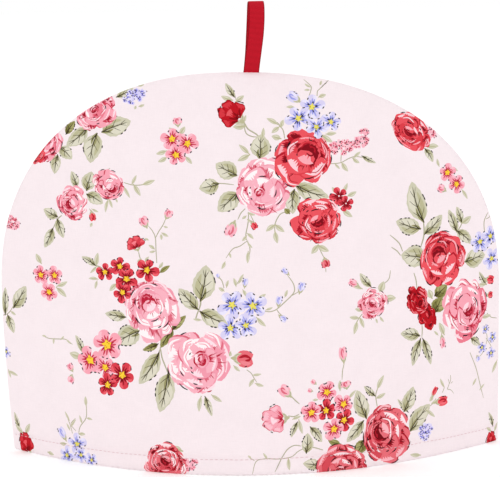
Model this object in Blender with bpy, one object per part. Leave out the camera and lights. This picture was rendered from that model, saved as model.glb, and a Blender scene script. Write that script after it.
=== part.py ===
"""A tea cosy: two wadded dome panels sewn together along their arched seam, standing open on a
stitched hem, with a loop of ribbon caught in the seam at the top.

Metres, +Z up. X runs across the cosy and Y from front to back. The origin is the middle of the
open bottom, on the surface that the hem stands on. Run it from Blender's text editor or with
blender --background --python part.py."""

import math

import bmesh
import bpy
import numpy as np
from mathutils import Vector
from mathutils.geometry import delaunay_2d_cdt

# The arched seam, which lies in the plane Y = 0.
SEAM_HEIGHT = 0.2435
HALF_WIDTH = 0.161
WIDEST_AT = 0.102  # height of the widest place
APEX_X = -0.0095  # the arch leans a little to the left
DOME_POWER = 2.29  # 2 is an ellipse, and more is squarer
HEM_X = {-1: 0.1565, 1: 0.1605}  # where the seam meets the hem, left and right
TUCK_POWER = 1.68  # how the sides draw in below the widest place

# The wadded wall, and how far the hem stands open.
HALF_DEPTH = 0.071  # from the seam to the middle of the wall, at the hem
WALL = 0.006
LEAN_POWER = 1.6  # the wall is upright at the hem and leans in towards the seam
CROWN_POWER = 0.85
SEAM_ALLOWANCE = 0.008  # the flat, sewn-together margin inside the seam
SHOULDER = 0.0042  # how far from the seam the wadding reaches its full thickness
PANEL_GAP = 0.0003  # between the two panels, along the seam

# The hem and its line of stitching.
HEM_DEPTH = 0.010
HEM_ROUND = 0.0022
STITCH_SINK = 0.0011
STITCH_WIDTH = 0.0020

# The ribbon loop. Its legs stand close together in the seam and open into a teardrop above it.
RIBBON_WIDTH = 0.010
RIBBON_THICK = 0.0008
LOOP_HEIGHT = 0.0445
LOOP_HALF_DEPTH = 0.0065
LOOP_X = 0.0031
LOOP_LEAN = 0.0036  # how far the loop leans to the right on its way up
LOOP_TWIST = math.radians(6)  # about the upright, so that the back leg shows to the left
TEAR_POWER = 1.6
TAIL = 0.006  # how deep the ribbon's ends are sewn in
TAIL_APART = 0.0003  # between the two ends
CLEARANCE = 0.0003  # between the ribbon and the panels
LOOP_STEPS = 56

# Soft dents and creases in the wadding: middle, half length and half width, slope in degrees.
DENTS = {
    "front": (
        {"x": -0.141, "z": 0.117, "length": 0.017, "width": 0.0055, "slope": 4, "deep": 0.0010},
        {"x": -0.127, "z": 0.172, "length": 0.015, "width": 0.0065, "slope": 80, "deep": 0.0010},
        {"x": 0.138, "z": 0.031, "length": 0.024, "width": 0.0070, "slope": 28, "deep": 0.0012},
        {"x": 0.055, "z": 0.118, "length": 0.050, "width": 0.0280, "slope": 15, "deep": 0.0012},
        {"x": -0.060, "z": 0.060, "length": 0.046, "width": 0.0240, "slope": -20, "deep": 0.0010},
    ),
    "back": (
        {"x": -0.136, "z": 0.044, "length": 0.024, "width": 0.0070, "slope": -30, "deep": 0.0012},
        {"x": 0.132, "z": 0.150, "length": 0.018, "width": 0.0060, "slope": 65, "deep": 0.0010},
        {"x": -0.040, "z": 0.125, "length": 0.052, "width": 0.0260, "slope": -12, "deep": 0.0012},
        {"x": 0.070, "z": 0.065, "length": 0.044, "width": 0.0240, "slope": 18, "deep": 0.0010},
    ),
}

# The mesh: level rows at the hem, rings that follow the seam, and an even grid between them.
HEM_ROWS = (0.0, 0.0006, 0.0022, 0.0055, 0.0080, 0.0100, 0.0120, 0.0145)
RINGS = (0.0, 0.0005, 0.0018, 0.0042, SEAM_ALLOWANCE, 0.0140)
SEAM_STEP = 0.0080
GRID_STEP = 0.0100
FINE_STEPS = 160

CLOTH = {"color": (0.96, 0.88, 0.89, 1.0), "roughness": 0.85}
RIBBON_RED = {"color": (0.58, 0.008, 0.03, 1.0), "roughness": 0.6}


def clear_scene():
    for obj in list(bpy.data.objects):
        bpy.data.objects.remove(obj)


def material(name, finish):
    mat = bpy.data.materials.new(name)
    mat.use_nodes = True
    shader = mat.node_tree.nodes["Principled BSDF"]
    shader.inputs["Base Color"].default_value = finish["color"]
    shader.inputs["Roughness"].default_value = finish["roughness"]
    return mat


def side_of_arch(side):
    """Close points (x, z) up one side of the seam, from the hem to the apex."""
    low = np.linspace(0.0, WIDEST_AT, FINE_STEPS // 2, endpoint=False)
    tuck = (HALF_WIDTH - HEM_X[side]) * ((WIDEST_AT - low) / WIDEST_AT) ** TUCK_POWER
    angle = np.linspace(0.0, math.pi / 2, FINE_STEPS)
    reach = HALF_WIDTH - side * APEX_X
    high_x = side * APEX_X + reach * np.maximum(np.cos(angle), 0.0) ** (2 / DOME_POWER)
    high_z = WIDEST_AT + (SEAM_HEIGHT - WIDEST_AT) * np.sin(angle) ** (2 / DOME_POWER)
    return np.stack([side * np.r_[HALF_WIDTH - tuck, high_x], np.r_[low, high_z]], axis=1)


LEFT, RIGHT = side_of_arch(-1), side_of_arch(1)
ARCH = np.concatenate([LEFT, RIGHT[::-1][1:]])


def walk(points):
    """The distance along a line of points, at each of them."""
    return np.r_[0.0, np.cumsum(np.linalg.norm(np.diff(points, axis=0), axis=1))]


def along(points, distances):
    measured = walk(points)
    return np.stack([np.interp(distances, measured, column) for column in points.T], axis=1)


def seam_points():
    """Points round the seam. Near the hem they sit at the heights of the rows."""
    rows = np.array(HEM_ROWS)
    length = walk(ARCH)[-1]
    start = np.interp(rows[-1], LEFT[:, 1], walk(LEFT))
    end = length - np.interp(rows[-1], RIGHT[:, 1], walk(RIGHT))
    count = round((end - start) / SEAM_STEP)
    round_top = along(ARCH, np.linspace(start, end, count + 1)[1:-1])
    left = np.stack([np.interp(rows, LEFT[:, 1], LEFT[:, 0]), rows], axis=1)
    right = np.stack([np.interp(rows, RIGHT[:, 1], RIGHT[:, 0]), rows], axis=1)
    return np.concatenate([left, round_top, right[::-1]])


def inward(points):
    """The direction into the panel at each point of the seam, level near the hem."""
    ahead = np.gradient(points, axis=0)
    normal = np.stack([ahead[:, 1], -ahead[:, 0]], axis=1)
    low = points[:, 1] <= HEM_ROWS[-1] + 1e-9
    normal[low] = np.stack([-np.sign(points[low, 0]), 0 * points[low, 1]], axis=1)
    return normal / np.linalg.norm(normal, axis=1)[:, None]


def distance_to_seam(points):
    start, step = ARCH[:-1], np.diff(ARCH, axis=0)
    share = ((points[:, None] - start) * step).sum(-1) / (step**2).sum(-1)
    nearest = start + np.clip(share, 0.0, 1.0)[..., None] * step
    return np.linalg.norm(points[:, None] - nearest, axis=-1).min(-1)


def panel_net():
    """Points (x, z) over one panel, its triangles, and which points lie on the seam and the hem."""
    seam = seam_points()
    into = inward(seam)
    rings = [seam + inset * into for inset in RINGS]
    rows, edge = len(HEM_ROWS), rings[-1]

    columns = round((edge[-1, 0] - edge[0, 0]) / GRID_STEP)
    share = np.linspace(0.0, 1.0, columns + 1)[1:-1]
    hem = [
        np.stack([edge[r, 0] + (edge[-1 - r, 0] - edge[r, 0]) * share, 0 * share + HEM_ROWS[r]], axis=1)
        for r in range(rows)
    ]

    xs = hem[-1][:, 0]
    zs = np.arange(HEM_ROWS[-1] + GRID_STEP * 0.8, SEAM_HEIGHT, GRID_STEP)
    inside = np.array([(x + (k % 2) * GRID_STEP / 2, z) for k, z in enumerate(zs) for x in xs])
    inside = inside[inside_arch(inside)]
    inside = inside[distance_to_seam(inside) > RINGS[-1] + GRID_STEP * 0.55]

    points = np.concatenate([*rings, *hem, inside])
    per_ring, per_row = len(seam), len(share)
    first_hem = per_ring * len(rings)
    edges = []
    for k in range(len(rings)):
        edges += [(per_ring * k + i, per_ring * k + i + 1) for i in range(per_ring - 1)]
    for r in range(rows):
        start = first_hem + per_row * r
        line = [per_ring * k + r for k in range(len(rings))] + list(range(start, start + per_row))
        line += [per_ring * (k + 1) - 1 - r for k in reversed(range(len(rings)))]
        edges += list(zip(line[:-1], line[1:], strict=True))
        if r == 0:
            hem_line = line
    flat = [Vector(p) for p in points]
    found = delaunay_2d_cdt(flat, edges, [], 0, 1e-7)
    triangles = [tuple(t) for t in found[2]]
    if len(found[0]) != len(points):
        raise ValueError("two points of the net fall on each other")
    middle = np.array([points[list(t)].mean(0) for t in triangles])
    keep = inside_arch(middle)
    triangles = [t for t, good in zip(triangles, keep, strict=True) if good]
    return points, triangles, list(range(per_ring)), hem_line


def inside_arch(points):
    """Whether each point is inside the outline that the seam points make with the hem."""
    outline = seam_points()
    a, b = outline, np.roll(outline, -1, axis=0)
    x, z = points[:, 0, None], points[:, 1, None]
    crosses = (a[:, 1] > z) != (b[:, 1] > z)
    rise = np.where(np.abs(b[:, 1] - a[:, 1]) < 1e-12, 1.0, b[:, 1] - a[:, 1])
    at = a[:, 0] + (z - a[:, 1]) / rise * (b[:, 0] - a[:, 0])
    return (crosses & (x < at)).sum(1) % 2 == 1


def body_depth(points):
    """How far the middle of the wall is from the seam's plane: a lens, shallower higher up."""
    x, z = points.T
    left, right = np.interp(z, *LEFT[:, ::-1].T), np.interp(z, *RIGHT[:, ::-1].T)
    across = (x - (left + right) / 2) / np.maximum((right - left) / 2, 1e-6)
    lean = (1 - np.clip(z / SEAM_HEIGHT, 0.0, 1.0) ** LEAN_POWER) ** CROWN_POWER
    return HALF_DEPTH * lean * np.clip(1 - across**2, 0.0, 1.0)


def pushed_in(points, name):
    """How far the dents, the stitching and the rounded hem push the outer skin in."""
    x, z = points.T
    below = np.clip(1 - z / HEM_ROUND, 0.0, 1.0)
    depth = STITCH_SINK * np.exp(-(((z - HEM_DEPTH) / STITCH_WIDTH) ** 2))
    depth = depth + HEM_ROUND * (1 - np.sqrt(1 - below**2))
    for dent in DENTS[name]:
        turn = math.radians(dent["slope"])
        dx, dz = x - dent["x"], z - dent["z"]
        length = (dx * math.cos(turn) + dz * math.sin(turn)) / dent["length"]
        width = (dz * math.cos(turn) - dx * math.sin(turn)) / dent["width"]
        depth = depth + dent["deep"] * np.exp(-(length**2) - width**2)
    return depth


def outer_depth(points, name):
    """How far from the seam's plane the outer skin lies."""
    near = np.clip(1 - distance_to_seam(points) / SHOULDER, 0.0, 1.0)
    shoulder = np.sqrt(1 - near**2)
    return body_depth(points) + (WALL / 2 - pushed_in(points, name)) * shoulder


def inner_depth(points):
    """The inner skin is flat across the sewn margin, then eases out to the wall's thickness."""
    share = (distance_to_seam(points) - SEAM_ALLOWANCE) / (RINGS[-1] - SEAM_ALLOWANCE)
    ease = np.clip(share, 0.0, 1.0)
    sink = STITCH_SINK * 0.6 * np.exp(-(((points[:, 1] - HEM_DEPTH) / STITCH_WIDTH) ** 2))
    return (body_depth(points) - WALL / 2 + sink) * ease * ease * (3 - 2 * ease)


def panel(name, facing, mat):
    """One wadded panel. facing is -1 for the front and 1 for the back."""
    points, triangles, seam, hem = panel_net()
    gap = PANEL_GAP / 2
    outer = facing * (outer_depth(points, name) + gap)
    inner = facing * (inner_depth(points) + gap)
    on_seam = set(seam)
    for i in seam:
        outer[i] = inner[i] = facing * gap

    bm = bmesh.new()
    outside = [bm.verts.new((x, y, z)) for (x, z), y in zip(points, outer, strict=True)]
    inside = [
        outside[i] if i in on_seam else bm.verts.new((x, y, z))
        for i, ((x, z), y) in enumerate(zip(points, inner, strict=True))
    ]
    for t in triangles:
        bm.faces.new([outside[i] for i in t])
        bm.faces.new([inside[i] for i in reversed(t)])
    for a, b in zip(hem[:-1], hem[1:], strict=True):
        corners = [outside[a], outside[b], inside[b], inside[a]]
        bm.faces.new(list(dict.fromkeys(corners)))
    bmesh.ops.recalc_face_normals(bm, faces=bm.faces)
    return finished(bm, f"{name}_panel", mat)


def finished(bm, name, mat=None):
    mesh = bpy.data.meshes.new(name)
    bm.to_mesh(mesh)
    bm.free()
    if mat:
        mesh.shade_smooth()
        mesh.set_sharp_from_angle(angle=math.radians(50))
        mesh.materials.append(mat)
    obj = bpy.data.objects.new(name, mesh)
    bpy.context.scene.collection.objects.link(obj)
    return obj


def loop_path():
    """The middle of the ribbon's thickness: up the front, over the top and down the back."""
    base = float(np.interp(LOOP_X, *RIGHT[::-1].T))
    leg = (RIBBON_THICK + TAIL_APART) / 2
    height = LOOP_HEIGHT - RIBBON_THICK / 2
    turn = np.linspace(0.0, 2 * math.pi, 600)
    tear = np.sin(turn) * np.sin(turn / 2) ** TEAR_POWER
    belly = (LOOP_HALF_DEPTH - RIBBON_THICK / 2) / np.abs(tear).max()
    y = -leg * np.cos(turn / 2) - belly * tear
    rise = (1 - np.cos(turn)) / 2
    x = LOOP_X + LOOP_LEAN * np.sin(rise * math.pi / 2)
    loop = np.stack([x, y, base + height * rise], axis=1)
    loop = along(loop, np.linspace(0.0, walk(loop)[-1], LOOP_STEPS + 1))
    down = np.array([[0.0, 0.0, -TAIL], [0.0, 0.0, -TAIL / 2]])
    return np.concatenate([loop[0] + down, loop, loop[-1] + down[::-1]])


def ribbon(mat):
    """The ribbon, as a flat strip with softened edges that follows its path."""
    path = loop_path()
    ahead = np.gradient(path, axis=0)
    ahead[:, 0] = 0.0
    ahead /= np.linalg.norm(ahead, axis=1)[:, None]
    out = np.stack([0 * ahead[:, 0], -ahead[:, 2], ahead[:, 1]], axis=1)
    base = path[2, 2]
    twist = LOOP_TWIST * np.clip((path[:, 2] - base) / LOOP_HEIGHT * 2, 0.0, 1.0)
    half, thick, soft = RIBBON_WIDTH / 2, RIBBON_THICK / 2, RIBBON_THICK * 0.3
    section = ((-half, -thick + soft), (-half + soft, -thick), (half - soft, -thick), (half, -thick + soft))
    section += tuple((-a, -b) for a, b in section)
    bm = bmesh.new()
    rings = []
    for p, n, angle in zip(path, out, twist, strict=True):
        ring = []
        for a, b in section:
            y = p[1] + b * n[1]
            x = p[0] + a * math.cos(angle) - y * math.sin(angle)
            ring.append(bm.verts.new((x, a * math.sin(angle) + y * math.cos(angle), p[2] + b * n[2])))
        rings.append(ring)
    count = len(section)
    for low, high in zip(rings[:-1], rings[1:], strict=True):
        for i in range(count):
            j = (i + 1) % count
            bm.faces.new((low[i], low[j], high[j], high[i]))
    bm.faces.new(rings[0])
    bm.faces.new(rings[-1][::-1])
    bmesh.ops.recalc_face_normals(bm, faces=bm.faces)
    return finished(bm, "hanging_loop", mat)


def ribbon_notch():
    """Cuts the room for the ribbon's ends out of the seam."""
    base = float(np.interp(LOOP_X, *RIGHT[::-1].T))
    half_x = RIBBON_WIDTH / 2 + CLEARANCE
    half_y = TAIL_APART / 2 + RIBBON_THICK + CLEARANCE
    low, high = base - TAIL - CLEARANCE, base + 0.004
    bm = bmesh.new()
    bmesh.ops.create_cube(bm, size=1.0)
    for v in bm.verts:
        v.co.x = LOOP_X + v.co.x * 2 * half_x
        v.co.y *= 2 * half_y
        v.co.z = (low + high) / 2 + v.co.z * (high - low)
    cutter = finished(bm, "ribbon_notch")
    cutter.hide_render = True
    cutter.display_type = "WIRE"
    return cutter


def cut(target, cutter):
    modifier = target.modifiers.new(cutter.name, "BOOLEAN")
    modifier.operation = "DIFFERENCE"
    modifier.solver = "EXACT"
    modifier.object = cutter


def build_cosy():
    cloth = material("printed_cotton", CLOTH)
    notch = ribbon_notch()
    for name, facing in (("front", -1), ("back", 1)):
        cut(panel(name, facing, cloth), notch)
    ribbon(material("red_ribbon", RIBBON_RED))


clear_scene()
build_cosy()
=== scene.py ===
"""A tea cosy: two wadded dome panels of rose-printed cotton, sewn along their arched seam and
standing open on a stitched hem, with a loop of ribbed ribbon in the seam.

Metres, +Z up, in the same frame as the solids. The print is drawn flat, in millimetres on the
cloth, as filled shapes in painter's order. Each panel's cloth is one triangle mesh whose edges
follow those shapes, so that every shape keeps a crisp edge, and is then curved into the dome."""

import cmath
import math
import random
from functools import partial

import bmesh
import bpy
import numpy as np
from mathutils import Matrix, Vector
from mathutils.geometry import delaunay_2d_cdt


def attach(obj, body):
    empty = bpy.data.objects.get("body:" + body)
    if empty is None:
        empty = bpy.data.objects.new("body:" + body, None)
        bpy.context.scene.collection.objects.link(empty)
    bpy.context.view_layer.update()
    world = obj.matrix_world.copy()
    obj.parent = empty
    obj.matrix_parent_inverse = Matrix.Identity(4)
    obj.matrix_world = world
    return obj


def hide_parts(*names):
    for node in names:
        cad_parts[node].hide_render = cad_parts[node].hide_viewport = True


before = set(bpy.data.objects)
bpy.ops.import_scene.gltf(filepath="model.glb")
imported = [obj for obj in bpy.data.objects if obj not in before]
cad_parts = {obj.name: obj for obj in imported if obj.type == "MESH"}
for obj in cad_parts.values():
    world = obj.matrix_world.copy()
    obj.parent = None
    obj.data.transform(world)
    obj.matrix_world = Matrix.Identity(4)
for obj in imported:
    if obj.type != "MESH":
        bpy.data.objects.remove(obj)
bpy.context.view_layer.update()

# ---------------------------------------------------------------------------
# Sizes, as in the solids.

SEAM_HEIGHT = 0.2435
HALF_WIDTH = 0.161
WIDEST_AT = 0.102
APEX_X = -0.0095
DOME_POWER = 2.29
HEM_X = {-1: 0.1565, 1: 0.1605}
TUCK_POWER = 1.68
HALF_DEPTH = 0.071
WALL = 0.006
LEAN_POWER = 1.6
CROWN_POWER = 0.85
SEAM_ALLOWANCE = 0.008
INNER_EASE = 0.014
SHOULDER = 0.0042
PANEL_GAP = 0.0003
HEM_DEPTH = 0.010
STITCH_SINK = 0.0011
STITCH_WIDTH = 0.0020
RIBBON_WIDTH = 0.010
RIBBON_THICK = 0.0008
LOOP_HEIGHT = 0.0445
LOOP_HALF_DEPTH = 0.0065
LOOP_X = 0.0031
LOOP_LEAN = 0.0036
LOOP_TWIST = math.radians(6)
TEAR_POWER = 1.6
TAIL = 0.006
TAIL_APART = 0.0003

# Where the wadding sinks: middle, half length and half width, slope in degrees.
DENTS = """ panel x z length width slope deep
front -0.141 0.117 0.017 0.0055 4 0.0010
front -0.127 0.172 0.015 0.0065 80 0.0010
front 0.138 0.031 0.024 0.0070 28 0.0012
front 0.055 0.118 0.050 0.0280 15 0.0012
front -0.060 0.060 0.046 0.0240 -20 0.0010
back -0.136 0.044 0.024 0.0070 -30 0.0012
back 0.132 0.150 0.018 0.0060 65 0.0010
back -0.040 0.125 0.052 0.0260 -12 0.0012
back 0.070 0.065 0.044 0.0240 18 0.0010
"""

# What only the cloth shows.
HEM_FOLD = 0.0012  # how roundly the cloth turns under at the hem
INNER_SINK = 0.6  # the share of the stitching's dip that shows inside
SEAM_DIP = 0.0002  # the seam line lies this far inside the puffed edge
SEAM_DIP_REACH = 0.0020
PUCKER = {"rise": 0.00022, "pitch": 0.0105, "reach": 0.009, "drift": 0.6, "drift_over": 0.041}
RIPPLE = {"rise": 0.000132, "across": 0.017, "sway": 0.031, "up": 0.023, "slant": 0.029}

RIB_PITCH = 0.00078
RIB_RISE = 0.00012
STITCH_PITCH = 0.0031
STITCH_LONG = 0.0024
THREAD = 0.00042
THREAD_LIFT = 0.00004  # how far the thread's middle stands off the cloth
CORNER_ROOM = 0.002  # the stitching stops this far from the hem's corners

CLOTH_MAP = "OFBake"
PRINT = "print"
MAP_SPAN = 0.360  # metres of flat cloth across the map
THREAD_PITCH = 0.55  # millimetres
MM = 1000

# The camera, and the layout that it frames. Layout places are counted across from the left and
# down from the top of a sheet this wide and high.
CAMERA = {"x": 0.0004, "y": -1.200, "z": 0.338, "down": 9.55, "roll": 1.04, "lens": 136.1, "sensor": 36.0}
SHEET = (500, 477)


def cell_value(cell):
    """A word, a number, or a colour such as #f6e9ec as three values from 0 to 1."""
    if cell.startswith("#"):
        return tuple(int(cell[k : k + 2], 16) / 255 for k in (1, 3, 5))
    return cell if cell.isalpha() else float(cell)


def read_table(text, **usual):
    """The rows of a table, as dictionaries. Its first line names the columns, and usual holds what a
    row leaves out, at its end or with a dash."""
    names, *rows = (line.split() for line in text.strip().splitlines())
    return [usual | {name: cell_value(cell) for name, cell in zip(names, row) if cell != "-"} for row in rows]


# ---------------------------------------------------------------------------
# The shape of the wall. Places on it are (x, z), seen square on, or (a, b), flat on the cloth.


def side_of_arch(side, steps=160):
    """Close points (x, z) up one side of the seam, from the hem to the apex."""
    low = np.linspace(0.0, WIDEST_AT, steps // 2, endpoint=False)
    tuck = (HALF_WIDTH - HEM_X[side]) * ((WIDEST_AT - low) / WIDEST_AT) ** TUCK_POWER
    angle = np.linspace(0.0, math.pi / 2, steps)
    reach = HALF_WIDTH - side * APEX_X
    high_x = side * APEX_X + reach * np.maximum(np.cos(angle), 0.0) ** (2 / DOME_POWER)
    high_z = WIDEST_AT + (SEAM_HEIGHT - WIDEST_AT) * np.sin(angle) ** (2 / DOME_POWER)
    return np.stack([side * np.r_[HALF_WIDTH - tuck, high_x], np.r_[low, high_z]], axis=1)


LEFT, RIGHT = side_of_arch(-1), side_of_arch(1)
ARCH = np.concatenate([LEFT, RIGHT[::-1][1:]])


def walk(points):
    """The distance along a line of points, at each of them."""
    return np.r_[0.0, np.cumsum(np.linalg.norm(np.diff(points, axis=0), axis=1))]


def along(points, count):
    """A line of points, walked in this many even steps."""
    measured = walk(points)
    distances = np.linspace(0.0, measured[-1], count)
    return np.stack([np.interp(distances, measured, column) for column in points.T], axis=1)


def level_shape(z):
    """The middle, half width and depth of the wall's lens at each height."""
    left, right = np.interp(z, *LEFT[:, ::-1].T), np.interp(z, *RIGHT[:, ::-1].T)
    lean = (1 - np.clip(z / SEAM_HEIGHT, 0.0, 1.0) ** LEAN_POWER) ** CROWN_POWER
    return (left + right) / 2, np.maximum((right - left) / 2, 1e-6), HALF_DEPTH * lean


def body_depth(points):
    middle, half, depth = level_shape(points[:, 1])
    return depth * np.clip(1 - ((points[:, 0] - middle) / half) ** 2, 0.0, 1.0)


LEVELS = np.linspace(0.0, SEAM_HEIGHT, 600)
CLIMB = walk(np.stack([LEVELS, level_shape(LEVELS)[2]], axis=1))


def girth(share, half, depth):
    """The cloth's length from the middle of a lens out to this share of its half width."""
    bow = np.maximum(2 * depth / half, 1e-5)
    return half / 2 * (share * np.sqrt(1 + (bow * share) ** 2) + np.arcsinh(bow * share) / bow)


def flat_mm(points):
    """Places (x, z) as complex numbers, in millimetres on the flat cloth."""
    middle, half, depth = level_shape(points[:, 1])
    share = (points[:, 0] - middle) / half
    return MM * (middle + girth(share, half, depth)) + 1j * (MM * np.interp(points[:, 1], LEVELS, CLIMB))


def from_flat(flat):
    """From (a, b) to (x, z)."""
    z = np.interp(flat[:, 1], CLIMB, LEVELS)
    middle, half, depth = level_shape(z)
    share = np.clip((flat[:, 0] - middle) / half, -1.2, 1.2)
    for _ in range(7):
        miss = girth(share, half, depth) - (flat[:, 0] - middle)
        share = share - miss / (half * np.sqrt(1 + (2 * depth / half * share) ** 2))
    return np.stack([middle + half * share, z], axis=1)


def way_in(steps):
    """Unit vectors square to a run of steps round the seam, that point to the inside."""
    return np.stack([steps[:, 1], -steps[:, 0]], axis=1) / np.linalg.norm(steps, axis=1)[:, None]


COARSE, AT_ONCE = 8, 8000  # the seam is searched by every so many of its points, for so many places


def near_seam(points):
    """For each point: how far the seam is, how far along it that is, and the way in from it."""
    start, step = ARCH[:-1], np.diff(ARCH, axis=0)
    length = np.linalg.norm(step, axis=1)
    before, inward = walk(ARCH)[:-1], way_in(step)
    found = []
    for part in np.array_split(points, len(points) // AT_ONCE + 1):
        coarse = ((part[:, None] - ARCH[::COARSE]) ** 2).sum(-1).argmin(1) * COARSE
        near = np.clip(coarse[:, None] + np.arange(-COARSE - 1, COARSE + 1), 0, len(start) - 1)
        share = np.clip(((part[:, None] - start[near]) * step[near]).sum(-1) / length[near] ** 2, 0.0, 1.0)
        gap = ((part[:, None] - (start[near] + share[..., None] * step[near])) ** 2).sum(-1)
        row, best = np.arange(len(part)), gap.argmin(1)
        side = near[row, best]
        seam_at = before[side] + share[row, best] * length[side]
        found.append(np.column_stack([np.sqrt(gap[row, best]), seam_at, inward[side]]))
    found = np.concatenate(found)
    return found[:, 0], found[:, 1], found[:, 2:]


def groove(z):
    """How far the stitching sinks into the wall."""
    return STITCH_SINK * np.exp(-(((z - HEM_DEPTH) / STITCH_WIDTH) ** 2))


def pushed_in(points, name):
    """How far the dents, the stitching and the fold of the hem push the outer skin in."""
    x, z = points.T
    depth = groove(z) + HEM_FOLD * (1 - np.sqrt(1 - np.clip(1 - z / HEM_FOLD, 0.0, 1.0) ** 2))
    for dent in read_table(DENTS):
        if dent["panel"] == name:
            off = (x - dent["x"] + 1j * (z - dent["z"])) * turned(-dent["slope"])
            length, width = off.real / dent["length"], off.imag / dent["width"]
            depth = depth + dent["deep"] * np.exp(-(length**2) - width**2)
    return depth


def skin(points, gap, inward, depth, facing):
    """Places in space from (x, z) and a depth, with the seam line drawn in a little."""
    dip = SEAM_DIP * np.clip(1 - gap / SEAM_DIP_REACH, 0.0, 1.0) ** 2
    moved = points + inward * dip[:, None]
    return np.stack([moved[:, 0], facing * (depth + PANEL_GAP / 2), moved[:, 1]], axis=1)


def outer_skin(points, name, facing):
    """The outside of a panel, at places (x, z)."""
    gap, seam_at, inward = near_seam(points)
    x, z = points.T
    shoulder = np.sqrt(1 - np.clip(1 - gap / SHOULDER, 0.0, 1.0) ** 2)
    drift = PUCKER["drift"] * np.sin(seam_at / PUCKER["drift_over"]) + 0.25 * facing
    wave = np.sin(2 * math.pi * (seam_at / PUCKER["pitch"] + drift))
    pucker = PUCKER["rise"] * wave * np.exp(-gap / PUCKER["reach"]) * shoulder
    swell = np.sin(x / RIPPLE["across"] + 1.3 * np.sin(z / RIPPLE["sway"]))
    swell = swell * np.sin(z / RIPPLE["up"] + facing) + np.sin((x + z) / RIPPLE["slant"] + 2 * facing)
    raised = WALL / 2 - pushed_in(points, name) + RIPPLE["rise"] * swell
    depth = body_depth(points) + raised * shoulder + pucker
    return skin(points, gap, inward, depth, facing)


def inner_skin(points, facing):
    """The inside of a panel: flat across the sewn margin, then easing out to the wall's thickness."""
    gap, _, inward = near_seam(points)
    ease = np.clip((gap - SEAM_ALLOWANCE) / (INNER_EASE - SEAM_ALLOWANCE), 0.0, 1.0)
    depth = body_depth(points) - WALL / 2 + groove(points[:, 1]) * INNER_SINK
    return skin(points, gap, inward, depth * ease * ease * (3 - 2 * ease), facing)


def on_cloth(places):
    """Layout places as complex numbers, in millimetres on the flat front panel."""
    down, roll = math.radians(CAMERA["down"]), turned(CAMERA["roll"])
    off = (np.asarray(places, float) - (SHEET[0] / 2, SHEET[1] / 2)) @ (1, 1j) * roll
    off = off / (CAMERA["lens"] / CAMERA["sensor"] * SHEET[0])
    ray_y, ray_z = math.cos(down) - off.imag * math.sin(down), -math.sin(down) - off.imag * math.cos(down)
    y = np.zeros(len(off))
    for _ in range(12):
        distance = (y - CAMERA["y"]) / ray_y
        points = np.stack([CAMERA["x"] + off.real * distance, CAMERA["z"] + ray_z * distance], axis=1)
        y = -(body_depth(points) + WALL / 2)
    return flat_mm(points)


# ---------------------------------------------------------------------------
# The print's colours and motifs.

BLOOM_TONES = """ tone white light edge base mid deep core eye pollen petal
pink #fef3f4 #fedee5 #fac6d0 #f7b2c0 #f19bad #de6a7e #ba223a
rosy #fef0f2 #fedae2 #fac0cc #f7a6b5 #eb7d8f #ce3e54 #9e162a #fcd03c #c48228
blush #fde4e8 #f9b8c0 #f08690 #e76e78 #d64c58 #b21e2e #760a16
coral #fcd0d7 #f9aab4 #f1707a #ea545e #db3e48 #b41a2a #820c1a
scarlet #f18088 #e5565e #d63741 #be1522 #b00f1c #8e0914 #70040e
poppy - #f4808a #ec606a #d83e4c - #981824 #6e0c16 #fcd03c #c48228 0.9
ruby - - #ec606a #d83e4c - #981824 #6e0c16 - - 0.9
blue - - #eae5fb #d9d2f1 - #9c9fe5 #28244e #ecde68 #78743c 0.82
violet - - #e2dbf8 #d4cdf5 - #7875d0 #2e2a6c
"""
LEAF_TONES = """ tone light base heart shade vein
sage #ded9c6 #cecab2 #bcb894 #969266 #463e2c
olive #aaa670 #928f56 #78743e #5e562c #403622
"""
GROUND, LINING = cell_value("#f6e9ec"), cell_value("#f6f0ea")
INKS = {"ink": cell_value("#1a141a"), "twig": cell_value("#b2ae94")}
TONES = {row["tone"]: row | INKS for row in read_table(BLOOM_TONES, petal=1.0) + read_table(LEAF_TONES)}
SMALL_LEAF, LONG_LEAF = 9.5, 13.0  # millimetres
BLOSSOMS = 0.27  # in a square millimetre of a spray
PETAL_RINGS = ((1.0, 8, 64), (0.76, 5, 100), (0.52, 4, 118))  # how far out, how many, how many degrees wide
HEEL = 0.10  # how far a rose's petals reach under the following ring
SMALLEST_CUP, WIDE_OPEN = 0.18, 0.25


def turned(degrees):
    return cmath.exp(1j * math.radians(degrees))


def spline(a, b, c, d, steps):
    """A smooth curve that runs from each b to its c, where a comes before and d after."""
    t = np.arange(steps) / steps
    a, b, c, d = (part[:, None] for part in (a, b, c, d))
    bend, twist = 2 * a - 5 * b + 4 * c - d, 3 * b - a - 3 * c + d
    return (0.5 * (2 * b + (c - a) * t + bend * t**2 + twist * t**3)).ravel()


def smooth(p):
    """A smooth curve through a few points."""
    if len(p) == 2:
        return np.linspace(*p, 4)
    p = np.concatenate([[2 * p[0] - p[1]], p, [2 * p[-1] - p[-2]]])
    return np.append(spline(p[:-3], p[1:-2], p[2:-1], p[3:], 4), p[-2])


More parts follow.
